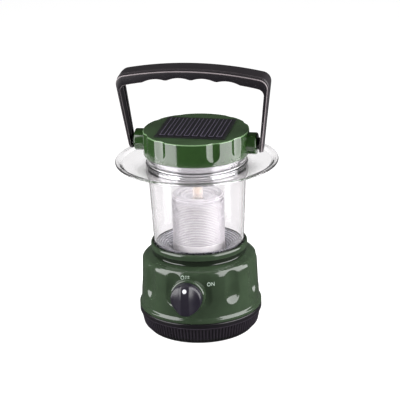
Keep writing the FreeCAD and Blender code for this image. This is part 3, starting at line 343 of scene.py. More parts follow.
def metal(name, colour, roughness):
    """Bright metal or plating with fine marks."""
    paint = Paint(name, Metallic=1.0)
    marks = paint.noise(900, 3)
    patches = paint.noise(60, 2)
    paint.colour(paint.blend(patches, shade(colour, 0.92), shade(colour, 1.0)))
    paint.roughness(roughness + (marks - 0.5) * roughness * 0.7)
    paint.normal(paint.bumped(marks, 0.004))
    return paint.material


def clear_shell(name, wall_tint, brim_tint):
    """Clear moulding, a little clearer in its brim than in its wall. Light passes it in shadow,
    so what it covers stays lit."""
    paint = Paint(name, IOR=1.47, Transmission_Weight=1.0)
    clouds = paint.noise(60, 2)
    brim = paint.out_from_axis().between(GLOBE_TOP_RADIUS + 0.5, GLOBE_TOP_RADIUS + 4)
    tint = paint.blend(brim, shade(wall_tint, 1.0), shade(brim_tint, 1.0))
    paint.colour(paint.blend(clouds * 0.02, tint, (0.5, 0.5, 0.5, 1)))
    paint.roughness(clouds * 0.001)
    foot = 1 - paint.along("Z").between(collar_top, collar_top + 1.5)
    edge = paint.slant().between(0.72, 0.98) * 0.6
    share = edge.or_more(foot * 0.85).or_more(paint.add("LightPath", out="Is Shadow Ray"))
    paint.show(paint.mixed(share, paint.body(), paint.open_way(shade(wall_tint, 0.97))))
    return paint.material


def milky_lens(name):
    """Moulded lens: milky below, with painted shade as a grey line in the root of each ring and darker
    where its sides turn away, clear round the bulb at its top, and paler there with a painted glow."""
    paint = Paint(name, IOR=1.49, Emission_Strength=0.6)
    height = paint.along("Z")
    clouds = paint.noise(90, 3)
    in_rib = ((height - LENS_RIBS_FROM) / LENS_RIB_PITCH).wrapped(1.0)
    # Painted shade: a grey line in the root of each ring.
    root = ring_root(in_rib, 0.16, 0.34)
    ribbed = height.between(LENS_RIBS_FROM, LENS_RIBS_FROM + 0.4)
    tint = paint.blend(clouds, (0.64, 0.63, 0.635, 1), (0.67, 0.66, 0.663, 1))
    lip = height.between(lens_top - 3.6, lens_top - 2.6)
    # Painted shade: darker where the surface turns away towards the sides.
    side = paint.slant().between(0.0, 0.6) * (1 - lip)
    tint = paint.blend(side, tint, (0.18, 0.175, 0.18, 1))
    paint.colour(paint.blend(root * ribbed * 0.9, tint, (0.25, 0.245, 0.26, 1)))
    # Painted glow: paler near the top, away from the outer wall.
    lit = height.between(lens_top - 9.0, lens_top - 6.0)
    lit = lit * (1 - paint.out_from_axis().between(LENS_RADIUS - 2.0, LENS_RADIUS - 0.6))
    paint.glow(paint.blend(lit, (0, 0, 0, 1), (0.98, 0.96, 1.0, 1)))
    paint.roughness(0.22 + clouds * 0.12)
    paint.normal(paint.bumped(clouds, 0.003))
    open_way = paint.open_way((0.92, 0.92, 0.93, 1))
    near_bulb = height.between(lens_top - 7.0, lens_top - 3.0) * 0.5
    shadow = paint.add("LightPath", out="Is Shadow Ray") * 0.75
    paint.show(paint.mixed(shadow, paint.mixed(near_bulb, paint.body(), open_way), open_way))
    return paint.material


def ringed_plating(name):
    """Plated dish: grey metal, with painted shade darker by its hub and as a dark line in the root of
    each ring.
    """
    paint = Paint(name, Metallic=1.0)
    radius = paint.out_from_axis()
    share = ((radius - DISH_HUB) / DISH_PITCH).wrapped(1.0)
    # Painted shade: a dark line in the root of each ring.
    root = ring_root(share, 0.10, 0.34)
    marks = paint.noise(500, 3)
    base = paint.blend(marks, (0.50, 0.50, 0.54, 1), (0.58, 0.58, 0.62, 1))
    # Painted shade: darker within a few millimetres of the hub.
    outer = radius.between(DISH_HUB + 1.0, DISH_HUB + 6.0)
    base = paint.blend(outer, (0.26, 0.26, 0.29, 1), base)
    paint.colour(paint.blend(root * 0.9, base, (0.10, 0.10, 0.12, 1)))
    paint.roughness(0.24 + marks * 0.08)
    paint.normal(paint.bumped(marks, 0.004))
    return paint.material


def warm_glass(name):
    """Thin lamp glass: mostly open, with a warm cast round the filament."""
    paint = Paint(name, IOR=1.1)
    clouds = paint.noise(200, 2)
    from_filament = abs(paint.along("Z") - foot_of("bulb_glass") - 7.0)
    warm = (1 - from_filament.between(1.5, 4.5)) * (1 - paint.slant().between(0.05, 0.5))
    paint.colour(paint.blend(warm, (0.80, 0.78, 0.76, 1), (0.76, 0.67, 0.59, 1)))
    paint.roughness(0.12 + clouds * 0.06)
    paint.normal(paint.bumped(clouds, 0.004))
    paint.show(paint.mixed(0.72 - warm * 0.3, paint.body(), paint.open_way((0.98, 0.96, 0.93, 1))))
    return paint.material


def edged_satin(name, colour):
    """Satin handle plastic whose rounded edges carry a painted highlight."""
    paint = Paint(name, Specular_IOR_Level=0.3)
    clouds = paint.noise(45, 3)
    grain = paint.noise(1500, 2)
    base = paint.blend(clouds, shade(colour, 0.85), shade(colour, 1.15))
    # Painted highlight: paler along the edges that the handle marks.
    paint.colour(paint.blend(paint.edge_highlight() * (0.55 + clouds * 0.5), base, (0.30, 0.26, 0.27, 1)))
    paint.roughness(0.3 + grain * 0.06)
    paint.normal(paint.bumped(grain, 0.008))
    return paint.material


def ribbed_grip(name, colour):
    """Moulded black grip: a painted reflection leaves the ridges between its grooves paler, and a
    painted highlight runs as a pale line along the lower edge of the smooth band above them."""
    paint = Paint(name, Specular_IOR_Level=0.5)
    clouds = paint.noise(60, 3)
    height = paint.along("Z")
    turn = paint.along("X").turn_from(paint.along("Y")) / TURN * GROOVES + 0.5
    ridge = 1 - ring_root(turn.wrapped(1.0), 0.16, 0.30)
    side = height.between(3.2, 4.4) * (1 - height.between(BAND_FOOT - 0.8, BAND_FOOT - 0.4))
    # Painted highlight: a pale line along the lower edge of the smooth band.
    rim = height.between(BAND_FOOT - 0.3, BAND_FOOT - 0.1)
    rim = rim * (1 - height.between(BAND_FOOT + 0.3, BAND_FOOT + 0.7))
    # Painted reflection: the ridges paler than the grooves.
    ridge_sheen = ridge * side * (0.75 + clouds * 0.5)
    skin = paint.blend(ridge_sheen, shade(colour, 0.8), shade(colour, 2.6))
    paint.colour(paint.blend(rim, skin, shade(colour, 9)))
    paint.roughness(0.24 + clouds * 0.1)
    paint.normal(paint.bumped(clouds, 0.01))
    return paint.material


def solar_film(name):
    """Dark violet silicon under clear resin. Each strip carries two pale conductors along Y,
    joined by a short bar at the front end."""
    paint = Paint(name, Coat_Weight=0.2, Coat_Roughness=0.05)
    along = paint.along("Y")
    sideways = abs((paint.along("X") + STRIP_PITCH * STRIPS).wrapped(STRIP_PITCH) - STRIP_PITCH / 2)
    rail = 1 - abs(sideways - CONDUCTOR_OFFSET).between(0.08, 0.26)
    behind_bar = along.between(PANEL_FRONT + 1.3, PANEL_FRONT + 1.6)
    at_bar = behind_bar * (1 - along.between(PANEL_FRONT + 1.9, PANEL_FRONT + 2.3))
    bar = at_bar * (1 - sideways.between(CONDUCTOR_OFFSET, CONDUCTOR_OFFSET + 0.3))
    print_mask = (rail * behind_bar).or_more(bar)
    crystals = paint.noise(420, 4)
    base = paint.blend(crystals.between(0.3, 0.7), (0.002, 0.0015, 0.004, 1), (0.004, 0.003, 0.008, 1))
    paint.colour(paint.blend(print_mask * 0.8, base, (0.20, 0.17, 0.25, 1)))
    paint.roughness(0.18 + crystals * 0.1)
    paint.normal(paint.bumped(crystals + print_mask, 0.01))
    return paint.material


def laminate(name, colour, weave_colour):
    """Resin board: a plain weave showing faintly under a thin varnish."""
    paint = Paint(name, Coat_Weight=0.4, Coat_Roughness=0.2)
    weave = paint.add("TexChecker", None, {"Vector": paint.place(), "Scale": 1600.0}, out=1)
    clouds = paint.noise(150, 3)
    paint.colour(paint.blend(weave * 0.35 + clouds * 0.3, colour + (1,), weave_colour + (1,)))
    paint.roughness(0.35 + clouds * 0.15)
    paint.normal(paint.bumped(weave, 0.01))
    return paint.material


def rubber(name, colour):
    """Soft rubber: dull, with a fine bloom."""
    paint = Paint(name)
    bloom = paint.noise(700, 3)
    paint.colour(paint.blend(bloom, shade(colour, 0.8), shade(colour, 1.4)))
    paint.roughness(0.6 + bloom * 0.2)
    paint.normal(paint.bumped(bloom, 0.02))
    return paint.material


def wrapped_cell(name):
    """Printed sleeve of a cell: a gold shoulder over a black body."""
    paint = Paint(name, Coat_Weight=0.5, Coat_Roughness=0.1)
    band = paint.along("Z").between(SLEEVE_BAND, SLEEVE_BAND + 0.5)
    clouds = paint.noise(300, 2)
    paint.colour(paint.blend(band, (0.02, 0.02, 0.022, 1), (0.45, 0.26, 0.09, 1)))
    paint.roughness(0.3 + clouds * 0.1)
    paint.normal(paint.bumped(clouds, 0.01))
    return paint.material


strip_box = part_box("solar_cells")
STRIPS = 8
STRIP_PITCH = (strip_box[1][0] - strip_box[0][0]) / MM / STRIPS + 0.09
CONDUCTOR_OFFSET = 1.65
SLEEVE_BAND = 40.0
PANEL_FRONT = strip_box[0][1] / MM

# Cap green: its edge colour is a painted highlight along the rim.
GREEN = moulded("green_gloss", (0.014, 0.036, 0.009), 0.10, edge=(0.13, 0.21, 0.11),
                Specular_IOR_Level=0.6)
# Base green: lighter and greyer than the cap's green as a painted sheen, with painted shade in the
# recess round the neck.
SHEENED_BASE_GREEN = moulded("green_base_painted_sheen", (0.026, 0.041, 0.023), 0.11, shaded_recess=NECK_RADIUS + 0.2,
                     Specular_IOR_Level=0.6)
BLACK = moulded("black_sheen", (0.011, 0.009, 0.016), 0.33)
SATIN = edged_satin("black_satin", (0.006, 0.005, 0.007))
INNER = moulded("inner_plastic", (0.05, 0.05, 0.052), 0.4)
WHITE = moulded("white_print", (0.62, 0.62, 0.66), 0.35)
PRINT = moulded("pale_print", (0.50, 0.60, 0.52), 0.4)
SEAL = rubber("seal_rubber", (0.03, 0.03, 0.03))
CLEAR = clear_shell("clear_globe", (0.875, 0.86, 0.871), (0.99, 0.977, 0.985))
LENS = milky_lens("milky_lens")
GRIP = ribbed_grip("grip_black", (0.0075, 0.006, 0.0085))
PLATING = metal("reflector_plating", (0.50, 0.50, 0.52), 0.16)
DISH = ringed_plating("dish_plating")
BRIGHT = metal("bright_metal", (0.82, 0.80, 0.76), 0.14)
STEEL = metal("zinc_steel", (0.55, 0.55, 0.54), 0.3)
GLASS = warm_glass("bulb_glass")
SLEEVE = wrapped_cell("cell_sleeve")
BOARD = laminate("green_laminate", (0.015, 0.07, 0.03), (0.03, 0.11, 0.05))
PARTS = moulded("board_parts", (0.035, 0.033, 0.03), 0.35)
PANEL_BOARD = laminate("dark_laminate", (0.004, 0.004, 0.005), (0.010, 0.010, 0.012))
FILM = solar_film("solar_film")


# ---- surfaces
def unit(vectors):
    """Vectors of length one, row by row."""
    return vectors / np.maximum(np.linalg.norm(vectors, axis=-1, keepdims=True), 1e-12)


def rounded(corners, radii, steps=7):
    """Closed outline with each corner rounded. Between the two tangent points of a corner the
    arc is the spherical blend of the radii that end there: weights sin((1-t)a) and sin(ta) over
    sin(a), where a is the angle that the arc sweeps."""
    corners = np.asarray(corners, float)
    radii = np.asarray(radii, float)[..., None]
    back = unit(np.roll(corners, 1, -2) - corners)
    forth = unit(np.roll(corners, -1, -2) - corners)
    half = np.arccos(np.clip((back * forth).sum(-1, keepdims=True), -1, 1)) / 2
    reach = radii / np.maximum(np.tan(half), 1e-6)
    centre = corners + unit(back + forth) * radii / np.maximum(np.sin(half), 1e-6)
    first = (corners + back * reach - centre)[..., None, :]
    last = (corners + forth * reach - centre)[..., None, :]
    sweep = (math.pi - 2 * half)[..., None, :]
    t = np.linspace(0, 1, steps)[:, None]
    arc = (np.sin((1 - t) * sweep) * first + np.sin(t * sweep) * last) / np.maximum(np.sin(sweep), 1e-6)
    points = centre[..., None, :] + arc
    return points.reshape(corners.shape[:-2] + (-1, 2))


def profile(rows, step=None, beyond=0):
    """Rounded (radius, height) outline from rows of radius, height and corner radius. Further
    out than beyond it has extra points, so that none of its stretches is longer than step."""
    rows = np.array(rows, float)
    points = rounded(rows[:, :2], rows[:, 2])
    points = np.vstack([points, points[:1]])
    if step is None:
        return points
    lengths = np.concatenate([[0], np.cumsum(np.linalg.norm(np.diff(points, axis=0), axis=1))])
    extra = np.arange(0, lengths[-1], step)
    stations = np.union1d(lengths, extra[np.interp(extra, lengths, points[:, 0]) > beyond])
    return np.column_stack([np.interp(stations, lengths, points[:, k]) for k in (0, 1)])


def softest(first, second, width):
    """Smaller of two arrays, with the crossing rounded over a width."""
    mix = np.clip(0.5 + 0.5 * (second - first) / width, 0, 1)
    return second * (1 - mix) + first * mix - width * mix * (1 - mix)


def piece(name, grid, material, body, covers=(), sharp=35, edge_highlight=None):
    """Mesh object from a grid of points, closed round its second index. Where given, the last argument
    says how strongly a highlight is painted at each point."""
    rows, columns = grid.shape[:2]
    index = np.arange(rows * columns).reshape(rows, columns)
    beside = np.roll(index, -1, 1)
    quads = np.stack([index[:-1], beside[:-1], beside[1:], index[1:]], -1).reshape(-1, 4)
    mesh = bpy.data.meshes.new(name)
    mesh.from_pydata((grid.reshape(-1, 3) * MM).tolist(), [], quads.tolist())
    if edge_highlight is not None:
        marks = mesh.attributes.new("painted_edge_highlight", "FLOAT", "POINT")
        marks.data.foreach_set("value", np.broadcast_to(edge_highlight, (rows, columns)).ravel())
    return dressed(name, mesh, material, body, covers, sharp)


def dressed(name, mesh, material, body, covers=(), sharp=35):
    """Object from a mesh, given its material and fixed to its body. Doubled points at seams and
    poles are merged first, and faces turned outwards."""
    work = bmesh.new()
    work.from_mesh(mesh)
    bmesh.ops.remove_doubles(work, verts=work.verts, dist=0.002 * MM)
    bmesh.ops.dissolve_degenerate(work, edges=work.edges, dist=0.001 * MM)
    bmesh.ops.recalc_face_normals(work, faces=work.faces)
    work.to_mesh(mesh)
    work.free()
    mesh.polygons.foreach_set("use_smooth", np.ones(len(mesh.polygons), bool))
    mesh.set_sharp_from_angle(angle=math.radians(sharp))
    mesh.materials.append(material)
    made = put(name, mesh)
    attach(made, body)
    if covers:
        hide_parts(*covers)
    return made


def turned(outline, around, bite=None):
    """Grid of a surface of revolution: radius times (sin a, -cos a), height. Where a bite is
    given, it turns radius, angle and height into the cut-back radius."""
    angle = np.arange(around) * TURN / around
    radius, angle, height = np.broadcast_arrays(outline[:, :1], angle[None, :], outline[:, 1:])
    if bite is not None:
        radius = bite(radius, angle, height)
    return np.stack([radius * np.sin(angle), -radius * np.cos(angle), height], -1)


def along_y(grid, height):
    """A turned grid laid over so that its axis points to the front at a height."""
    return np.stack([grid[..., 0], -grid[..., 2], grid[..., 1] + height], -1)


def along_x(grid, height, side):
    """A turned grid laid over so that its axis points to one side at a height."""
    return np.stack([side * grid[..., 2], grid[..., 1], side * grid[..., 0] + height], -1)


FAR_OUT = 99.0


def flutes(angle, height, wall, width, depth, foot, first, left_out=()):
    """Radius of a ring of upright hollows: each is a cylinder outside the wall with a ball
    end, so its near side is C cos d - sqrt(r^2 - C^2 sin^2 d) at an angle d from its middle.
    Away from the hollows it is far out."""
    pitch = TURN / FLUTES
    step = np.round((angle - first) / pitch)
    offset = angle - first - step * pitch
    bulge = wall - math.sqrt(wall ** 2 - (width / 2) ** 2)
    sag = depth - bulge
    cutter = ((width / 2) ** 2 + sag ** 2) / (2 * sag)
    centre = wall - depth + cutter
    rise = math.sqrt(cutter ** 2 - (cutter - depth) ** 2)
    below = np.maximum(foot + rise - height, 0)
    radius = np.sqrt(np.maximum(cutter ** 2 - below ** 2, 0.01))
    room = radius ** 2 - (centre * np.sin(offset)) ** 2
    surface = np.where(room > 0, centre * np.cos(offset) - np.sqrt(np.maximum(room, 0)), FAR_OUT)
    for missing in left_out:
        surface = np.where(np.mod(step, FLUTES) == missing, FAR_OUT, surface)
    return np.minimum(surface, FAR_OUT)


# ---- battery cover and base
def grooved(radius, angle, height):
    """Cover's grip: the radius falls by a rounded wave of GROOVES waves to the turn, faded out
    at the smooth band above and under the foot."""
    fade = np.clip((BAND_FOOT - 0.3 - height) / 0.5, 0, 1) * np.clip((height - 0.4) / 2.5, 0, 1)
    outer = np.clip((radius - 39.0) / 1.5, 0, 1) * fade
    wave = np.abs(np.cos(angle * GROOVES / 2)) ** 2.4
    return radius - GROOVE_DEPTH * outer * wave


cover_outline = profile([
    (0, 0.8, 0), (29.4, 0.8, 0.4), (30.4, 0, 0.4), (38.6, 0, 1.2), (42.4, 4.2, 2.4),
    (44.2, BAND_FOOT, 0.15), (base_radius, BAND_FOOT + 0.3, 0.25), (base_radius, BAND_TOP, 0.6),
    (SPIGOT_RADIUS, BAND_TOP, 0), (SPIGOT_RADIUS, spigot_top, 0.4), (39.5, spigot_top, 0.3),
    (36.2, COVER_FLOOR, 1), (0, COVER_FLOOR, 0),
], step=0.9, beyond=38.5)
piece("twist_off_cover", turned(cover_outline, GROOVES * 8, grooved), GRIP, "battery_cover",
      ["battery_cover"], sharp=50)


def fluted_wall(radius, angle, height):
    """Base wall with its twelve hollows, their edges slightly rounded."""
    hollow = flutes(angle, height, BASE_HOLLOW_WALL, BASE_HOLLOW_WIDTH, BASE_HOLLOW_DEPTH,
                    BASE_HOLLOW_FOOT, TURN / FLUTES / 2)
    return softest(radius, hollow, 0.5)


housing_outline = profile([
    (RECESS_RADIUS, housing_foot, 0), (base_radius, housing_foot, 0.6),
    (base_radius, housing_foot + 2.4, 0.8), (WAIST_RADIUS, housing_foot + 3.8, 1.5),
    (SHOULDER_RADIUS, neck_top - 6.6, 5.0), (NECK_RADIUS, neck_top - 4.0, 0.8),
    (NECK_RADIUS, neck_top, 0.2), (NECK_BORE, neck_top, 0.2), (NECK_BORE, deck_top, 0),
    (3.5, deck_top, 0), (3.5, deck_top - 2.2, 0), (25, deck_top - 2.2, 0),
    (BORE_RADIUS, neck_top - 7.8, 0), (BORE_RADIUS, spigot_top + 0.3, 0),
    (RECESS_RADIUS, spigot_top + 0.3, 0),
], step=0.8, beyond=39.5)
piece("fluted_base", turned(housing_outline, 720, fluted_wall), SHEENED_BASE_GREEN, "base",
      ["base_housing"], sharp=40)

boss_outline = profile([
    (SHAFT_BORE, SWITCH_BOSS_ROOT, 0), (SWITCH_BOSS_RADIUS, SWITCH_BOSS_ROOT, 0),
    (SWITCH_BOSS_RADIUS - 0.1, -boss_front, 1.5), (SWITCH_BOSS_BORE, -boss_front, 0.3),
    (SWITCH_BOSS_BORE, SWITCH_BOSS_FLOOR, 0), (SHAFT_BORE, SWITCH_BOSS_FLOOR, 0),
])
piece("switch_boss", along_y(turned(boss_outline, 128), knob_height), SHEENED_BASE_GREEN, "base")


# ---- switch knob
def dome(upright):
    """How far the knob's front has curved back at a height above its axis."""
    return np.maximum(upright, 0) ** 2 / KNOB_DOME


def knob_grid():
    """Knob as rings: the front is a round face whose cheeks are hollowed by two upright
    cylinders of radius s beside the grip bar, front + sqrt(s^2 - (|x| - c)^2) - drop, where s
    is the scoop and c how far away it stands. The edge rounds over into a straight side and a
    flat back."""
    edge = KNOB_EDGE
    angle = np.arange(144) * TURN / 144
    share = np.linspace(0, 1, 40)[:, None]
    face_radius = (knob_radius - edge) * share
    turn_in = np.linspace(0, math.pi / 2, 8)[:, None]
    radius = np.vstack([face_radius, knob_radius - edge + edge * np.sin(turn_in)])
    fall = np.vstack([np.zeros_like(face_radius), edge * (1 - np.cos(turn_in))])
    x = radius * np.sin(angle)
    bow = np.maximum(KNOB_SCOOP ** 2 - (np.abs(x) - KNOB_SCOOP_AWAY) ** 2, 0)
    hollow = np.sqrt(bow) - KNOB_SCOOP_DROP
    depth = -softest(-np.maximum(hollow, -3), np.zeros_like(hollow), 0.9)
    z = radius * np.cos(angle)
    front = knob_front + np.maximum(depth, 0) + fall + dome(z)
    rows = [np.stack([x, front, z], -1)]
    rim_x, rim_z = knob_radius * np.sin(angle), knob_radius * np.cos(angle)
    for part in (0.5, 1.0):
        side = front[-1] + (knob_back - front[-1]) * part
        rows.append(np.stack([rim_x, side, rim_z], -1)[None])
    back = np.full_like(angle, knob_back)
    rows.append(np.stack([rim_x * 0.18, back, rim_z * 0.18], -1)[None])
    rows.append(np.stack([rim_x * 0, back, rim_z * 0], -1)[None])
    grid = np.concatenate(rows)
    grid[..., 2] += knob_height
    return grid


piece("switch_knob", knob_grid(), BLACK, "knob", ["knob"], sharp=50)

dot_height = (foot_of("knob_pointer") + top_of("knob_pointer")) / 2
dot_outline = profile([(0, -knob_front - DOT_DEPTH, 0), (DOT_RADIUS, -knob_front - DOT_DEPTH, 0),
                       (DOT_RADIUS, -knob_front + 0.02, 0.2), (0, -knob_front + 0.12, 0)])
dot = along_y(turned(dot_outline, 48), dot_height)
dot[..., 1] += dome(dot[..., 2] - knob_height)
piece("knob_dot", dot, WHITE, "knob", ["knob_pointer"])


# ---- collar, globe and reflectors
def globe_radius(height):
    """Outside of the globe's tapered wall at a height."""
    share = (height - globe_foot) / (globe_top - globe_foot)
    return GLOBE_FOOT_RADIUS + (GLOBE_TOP_RADIUS - GLOBE_FOOT_RADIUS) * share


mouth = globe_radius(collar_top) + 0.25
collar_outline = profile([
    (COLLAR_BORE, deck_top, 0), (NECK_BORE - 0.25, deck_top, 0), (NECK_BORE - 0.25, neck_top, 0),
    (NECK_RADIUS + 0.05, neck_top, 0), (NECK_RADIUS + 0.05, neck_top - 0.1, 0),
    (COLLAR_RADIUS, neck_top - 0.1, 0.6), (COLLAR_RADIUS, collar_top, 1.7), (mouth, collar_top, 0.2),
    (mouth, globe_foot, 0), (COLLAR_BORE, globe_foot, 0),
])
piece("globe_ring", turned(collar_outline, 256), SHEENED_BASE_GREEN, "base", ["globe_collar"])

brim = globe_top - 13.0
globe_outline = profile([
    (GLOBE_FOOT_RADIUS - GLOBE_WALL, globe_foot, 0), (GLOBE_FOOT_RADIUS, globe_foot, 0.3),
    (globe_radius(brim), brim, 1.2), (BRIM_BEND_RADIUS, brim, 1.5), (56.65, brim + 2.2, 1.4),
    (brim_radius, brim + 1.9, 0.4), (brim_radius, brim + 3.1, 0.7), (56.2, brim + 3.7, 2.0),
    (BRIM_BEND_RADIUS - 0.5, brim + BRIM_WALL, 1.5),
    (globe_radius(brim + BRIM_WALL), brim + BRIM_WALL, 1.2),
    (GLOBE_TOP_RADIUS, globe_top, 0.3), (GLOBE_TOP_RADIUS - GLOBE_WALL, globe_top, 0.3),
])
piece("globe_shell", turned(globe_outline, 320), CLEAR, "base", ["globe"])


def ringed(start, end, rings, height):
    """Rows of a profile from start to end with fine rings: each is a ramp and a sharp fall."""
    share = np.arange(rings * 2 + 1) / (rings * 2)
    radius = start[0] + (end[0] - start[0]) * share
    level = start[1] + (end[1] - start[1]) * share
    level[1::2] += height
    return [(r, z, 0.12) for r, z in zip(radius[1:-1], level[1:-1])]


dish_top = top_of("lower_reflector")
dish_rim = reach_of("lower_reflector")
dish_outline = profile(
    [(dish_rim - DISH_LIP, dish_top, 0.3)]
    + ringed((dish_rim - DISH_LIP, dish_top), (DISH_HUB, dish_top - 6.0), DISH_RINGS, 0.5)
    + [(DISH_HUB, dish_top - 6.0, 0.1), (DISH_HUB, deck_top + 1.3, 0),
       (LENS_RADIUS + 1.5, deck_top + 1.3, 0), (dish_rim - 2.6, globe_foot, 0),
       (dish_rim, globe_foot, 0), (dish_rim, dish_top, 0.3)])
piece("lower_dish", turned(dish_outline, 256), DISH, "base", ["lower_reflector"])

shade_foot = foot_of("upper_reflector")
shade_top = top_of("upper_reflector")
roof = shade_top - SHADE_RISE
shade_rim = globe_radius(shade_foot) - GLOBE_WALL - 0.25
shade_reach = globe_radius(shade_top) - GLOBE_WALL - 0.25
shade_outline = profile(
    [(0, roof, 0), (SHADE_ROOF_RADIUS, roof, 4.0)]
    + ringed((SHADE_ROOF_RADIUS, roof), (shade_rim - 0.8, shade_foot), 6, 0.4)
    + [(shade_rim - 0.8, shade_foot, 0.2), (shade_rim, shade_foot, 0.2), (shade_reach, shade_top, 0.2),
       (shade_reach - 1.2, shade_top, 0.2), (shade_rim - 1.7, shade_foot + 2.4, 0.5),
       (SHADE_ROOF_RADIUS + 0.4, roof + 1.2, 4.0), (0, roof + 1.2, 0)])
piece("upper_shade", turned(shade_outline, 256), PLATING, "base",
      ["upper_reflector"])


# ---- lens and bulb
def lens_rows():
    """Profile of the lens: flange, smooth band, a stack of prism rings, a stepped funnel on
    top, and the plain bore inside."""
    ribs_to = lens_top - LENS_LIP
    level = LENS_RIBS_FROM + np.arange(LENS_RIBS) * LENS_RIB_PITCH
    ribs = np.column_stack([
        np.tile([LENS_RADIUS, LENS_RADIUS - LENS_RIB_DEPTH], LENS_RIBS),
        np.column_stack([level, level + LENS_RIB_PITCH * 0.75]).ravel(),
        np.full(LENS_RIBS * 2, 0.18),
    ])
    funnel = ringed((LENS_FUNNEL_RADIUS, lens_top), (5.6, lens_top - 5.0), 5, 0.45)
    return ([(LENS_BORE, deck_top, 0), (LENS_FLANGE_RADIUS, deck_top, 0),
             (LENS_FLANGE_RADIUS, deck_top + 1.2, 0.3), (LENS_RADIUS, deck_top + 1.2, 0.3)]
            + ribs.tolist()
            + [(LENS_RADIUS, ribs_to, 0.4), (LENS_RADIUS - 0.3, lens_top, 1.8),
               (LENS_FUNNEL_RADIUS, lens_top, 0.2)]
            + funnel
            + [(5.4, lens_top - 5.0, 0.2), (5.4, lens_top - 7.2, 0.2), (LENS_BORE, lens_top - 4.2, 1.5)])


piece("prism_tube", turned(profile(lens_rows()), 192), LENS, "base", ["prism_lens"])

bulb_foot = foot_of("bulb_glass")
lamp = bulb_foot - BULB_NECK
base_outline = profile([
    (0, lamp - 11.4, 0), (1.6, lamp - 11.4, 0.5), (3.8, lamp - 10.5, 0.4),
    (BULB_BASE_RADIUS, lamp - 9.4, 0.4), (BULB_BASE_RADIUS, lamp - 6.0, 0), (4.45, lamp - 5.7, 0.1),
    (BULB_BASE_RADIUS, lamp - 5.4, 0), (BULB_BASE_RADIUS, lamp, 0.2),
    (5.1, lamp, 0.3), (5.1, bulb_foot, 0.5), (0, bulb_foot, 0),
])
piece("bulb_cap", turned(base_outline, 96), BRIGHT, "base", ["bulb_base"])

bulb_top = top_of("bulb_glass")
bulb_outline = profile([
    (0, bulb_foot, 0), (3.3, bulb_foot, 0.3), (BULB_RADIUS, bulb_foot + 5.0, 3.5),
    (3.6, bulb_top, 3.2), (0, bulb_top, 0), (0, bulb_top - 0.5, 0),
    (3.1, bulb_top - 0.6, 2.9), (3.45, bulb_foot + 5.0, 3.2), (2.8, bulb_foot + 0.6, 0.3),
    (0, bulb_foot + 0.6, 0),
])
piece("bulb_envelope", turned(bulb_outline, 96), GLASS, "base", ["bulb_glass"])


def wire(name, path, radius):
    """Steel wire: a circle of points carried along a path, square to its running direction."""
    way = unit(np.gradient(path, axis=0))
    across = unit(np.cross(way, [0.31, 0.92, 0.2]))
    over = np.cross(way, across)
    angle = (np.arange(WIRE_SIDES) * TURN / WIRE_SIDES)[:, None]
    tube = path[:, None] + (across[:, None] * np.cos(angle) + over[:, None] * np.sin(angle)) * radius
    ends = [np.broadcast_to(path[k], (1, WIRE_SIDES, 3)) for k in (0, -1)]
    return piece(name, np.concatenate([ends[0], tube, ends[1]]), STEEL, "base")


turns = np.linspace(0, 1, 160)
coil = turns * TURN * FILAMENT_COILS
arched = bulb_foot + FILAMENT_RISE + 0.7 * np.sin(turns * math.pi)
filament = np.column_stack([(turns - 0.5) * 3.6, FILAMENT_COIL_RADIUS * np.sin(coil),
                            arched + FILAMENT_COIL_RADIUS * np.cos(coil)])
wire("bulb_filament", filament, 0.09)
for side, label in ((-1, "left"), (1, "right")):
    share = np.linspace(0, 1, 24)
    lead = np.column_stack([side * (0.8 + share ** 2), 0 * share, bulb_foot + 0.3 + share * 7.3])
    wire("bulb_lead_" + label, lead, 0.16)


# ---- cap
def fluted_cap(radius, angle, height):
    """Cap's wall with its hollows, two in each quarter."""
    hollow = flutes(angle, height, CAP_RADIUS, CAP_HOLLOW_WIDTH, CAP_HOLLOW_DEPTH,
                    cap_foot + CAP_HOLLOW_RISE, 0.0, left_out=(0, 3, 6, 9))
    return softest(radius, hollow, 0.35)


cap_bore = CAP_RADIUS - CAP_WALL
cap_outline = profile([
    (cap_bore, cap_foot, 0.2), (CAP_RADIUS, cap_foot, 0.5), (CAP_RADIUS, cap_top, 0.8),
    (0, cap_top, 0), (0, cap_top - CAP_ROOF, 0), (CAP_LEDGE_BORE, cap_top - CAP_ROOF, 0),
    (CAP_LEDGE_BORE, globe_top + 0.1, 0), (cap_bore, globe_top + 0.1, 0),
], step=0.7, beyond=36.4)
# Painted highlight: strong along the cap's rounded rim, faint over its top.
cap_edge = np.where(np.hypot(*(cap_outline - [CAP_RADIUS, cap_top]).T) < 0.6, 1.0, 0.0)
cap_edge += 0.13 * (cap_outline[:, 1] > cap_top - 0.1) * (cap_edge == 0)
piece("fluted_cap", turned(cap_outline, 720, fluted_cap), GREEN, "base", ["top_cap"],
      sharp=40, edge_highlight=cap_edge[:, None])
for side, label in ((-1, "left"), (1, "right")):
    knuckle = profile([
        (0, KNUCKLE_ROOT, 0), (KNUCKLE_RADIUS, KNUCKLE_ROOT, 0), (KNUCKLE_RADIUS, boss_reach, 0.9),
        (PIN_RADIUS + 0.1, boss_reach, 0), (PIN_RADIUS + 0.1, KNUCKLE_FLOOR, 0), (0, KNUCKLE_FLOOR, 0),
    ])
    piece("pivot_knuckle_" + label, along_x(turned(knuckle, 128), pivot_height, side), GREEN, "base")


# ---- carry handle
HANDLE_LEAN = math.radians(5.4)
HANDLE_REACH = 57.3
HANDLE_ARCH = 6.1
GRIP_THICKNESS = 7.2
ARM_X = 47.0
ARM_WALL = 2.5
ARM_END = -6.5
PIVOT_HALF_WIDTH = 6.5
GRIP_HALF_WIDTH = 9.0
SKIN = 1.75
LIP = 1.8
BAND_STEP = 0.45
FINGER_PITCH = 18.1
FINGER_HALF_WIDTH = 8.05
FINGER_DEPTH = 1.5
ABOVE_ARMS = 30


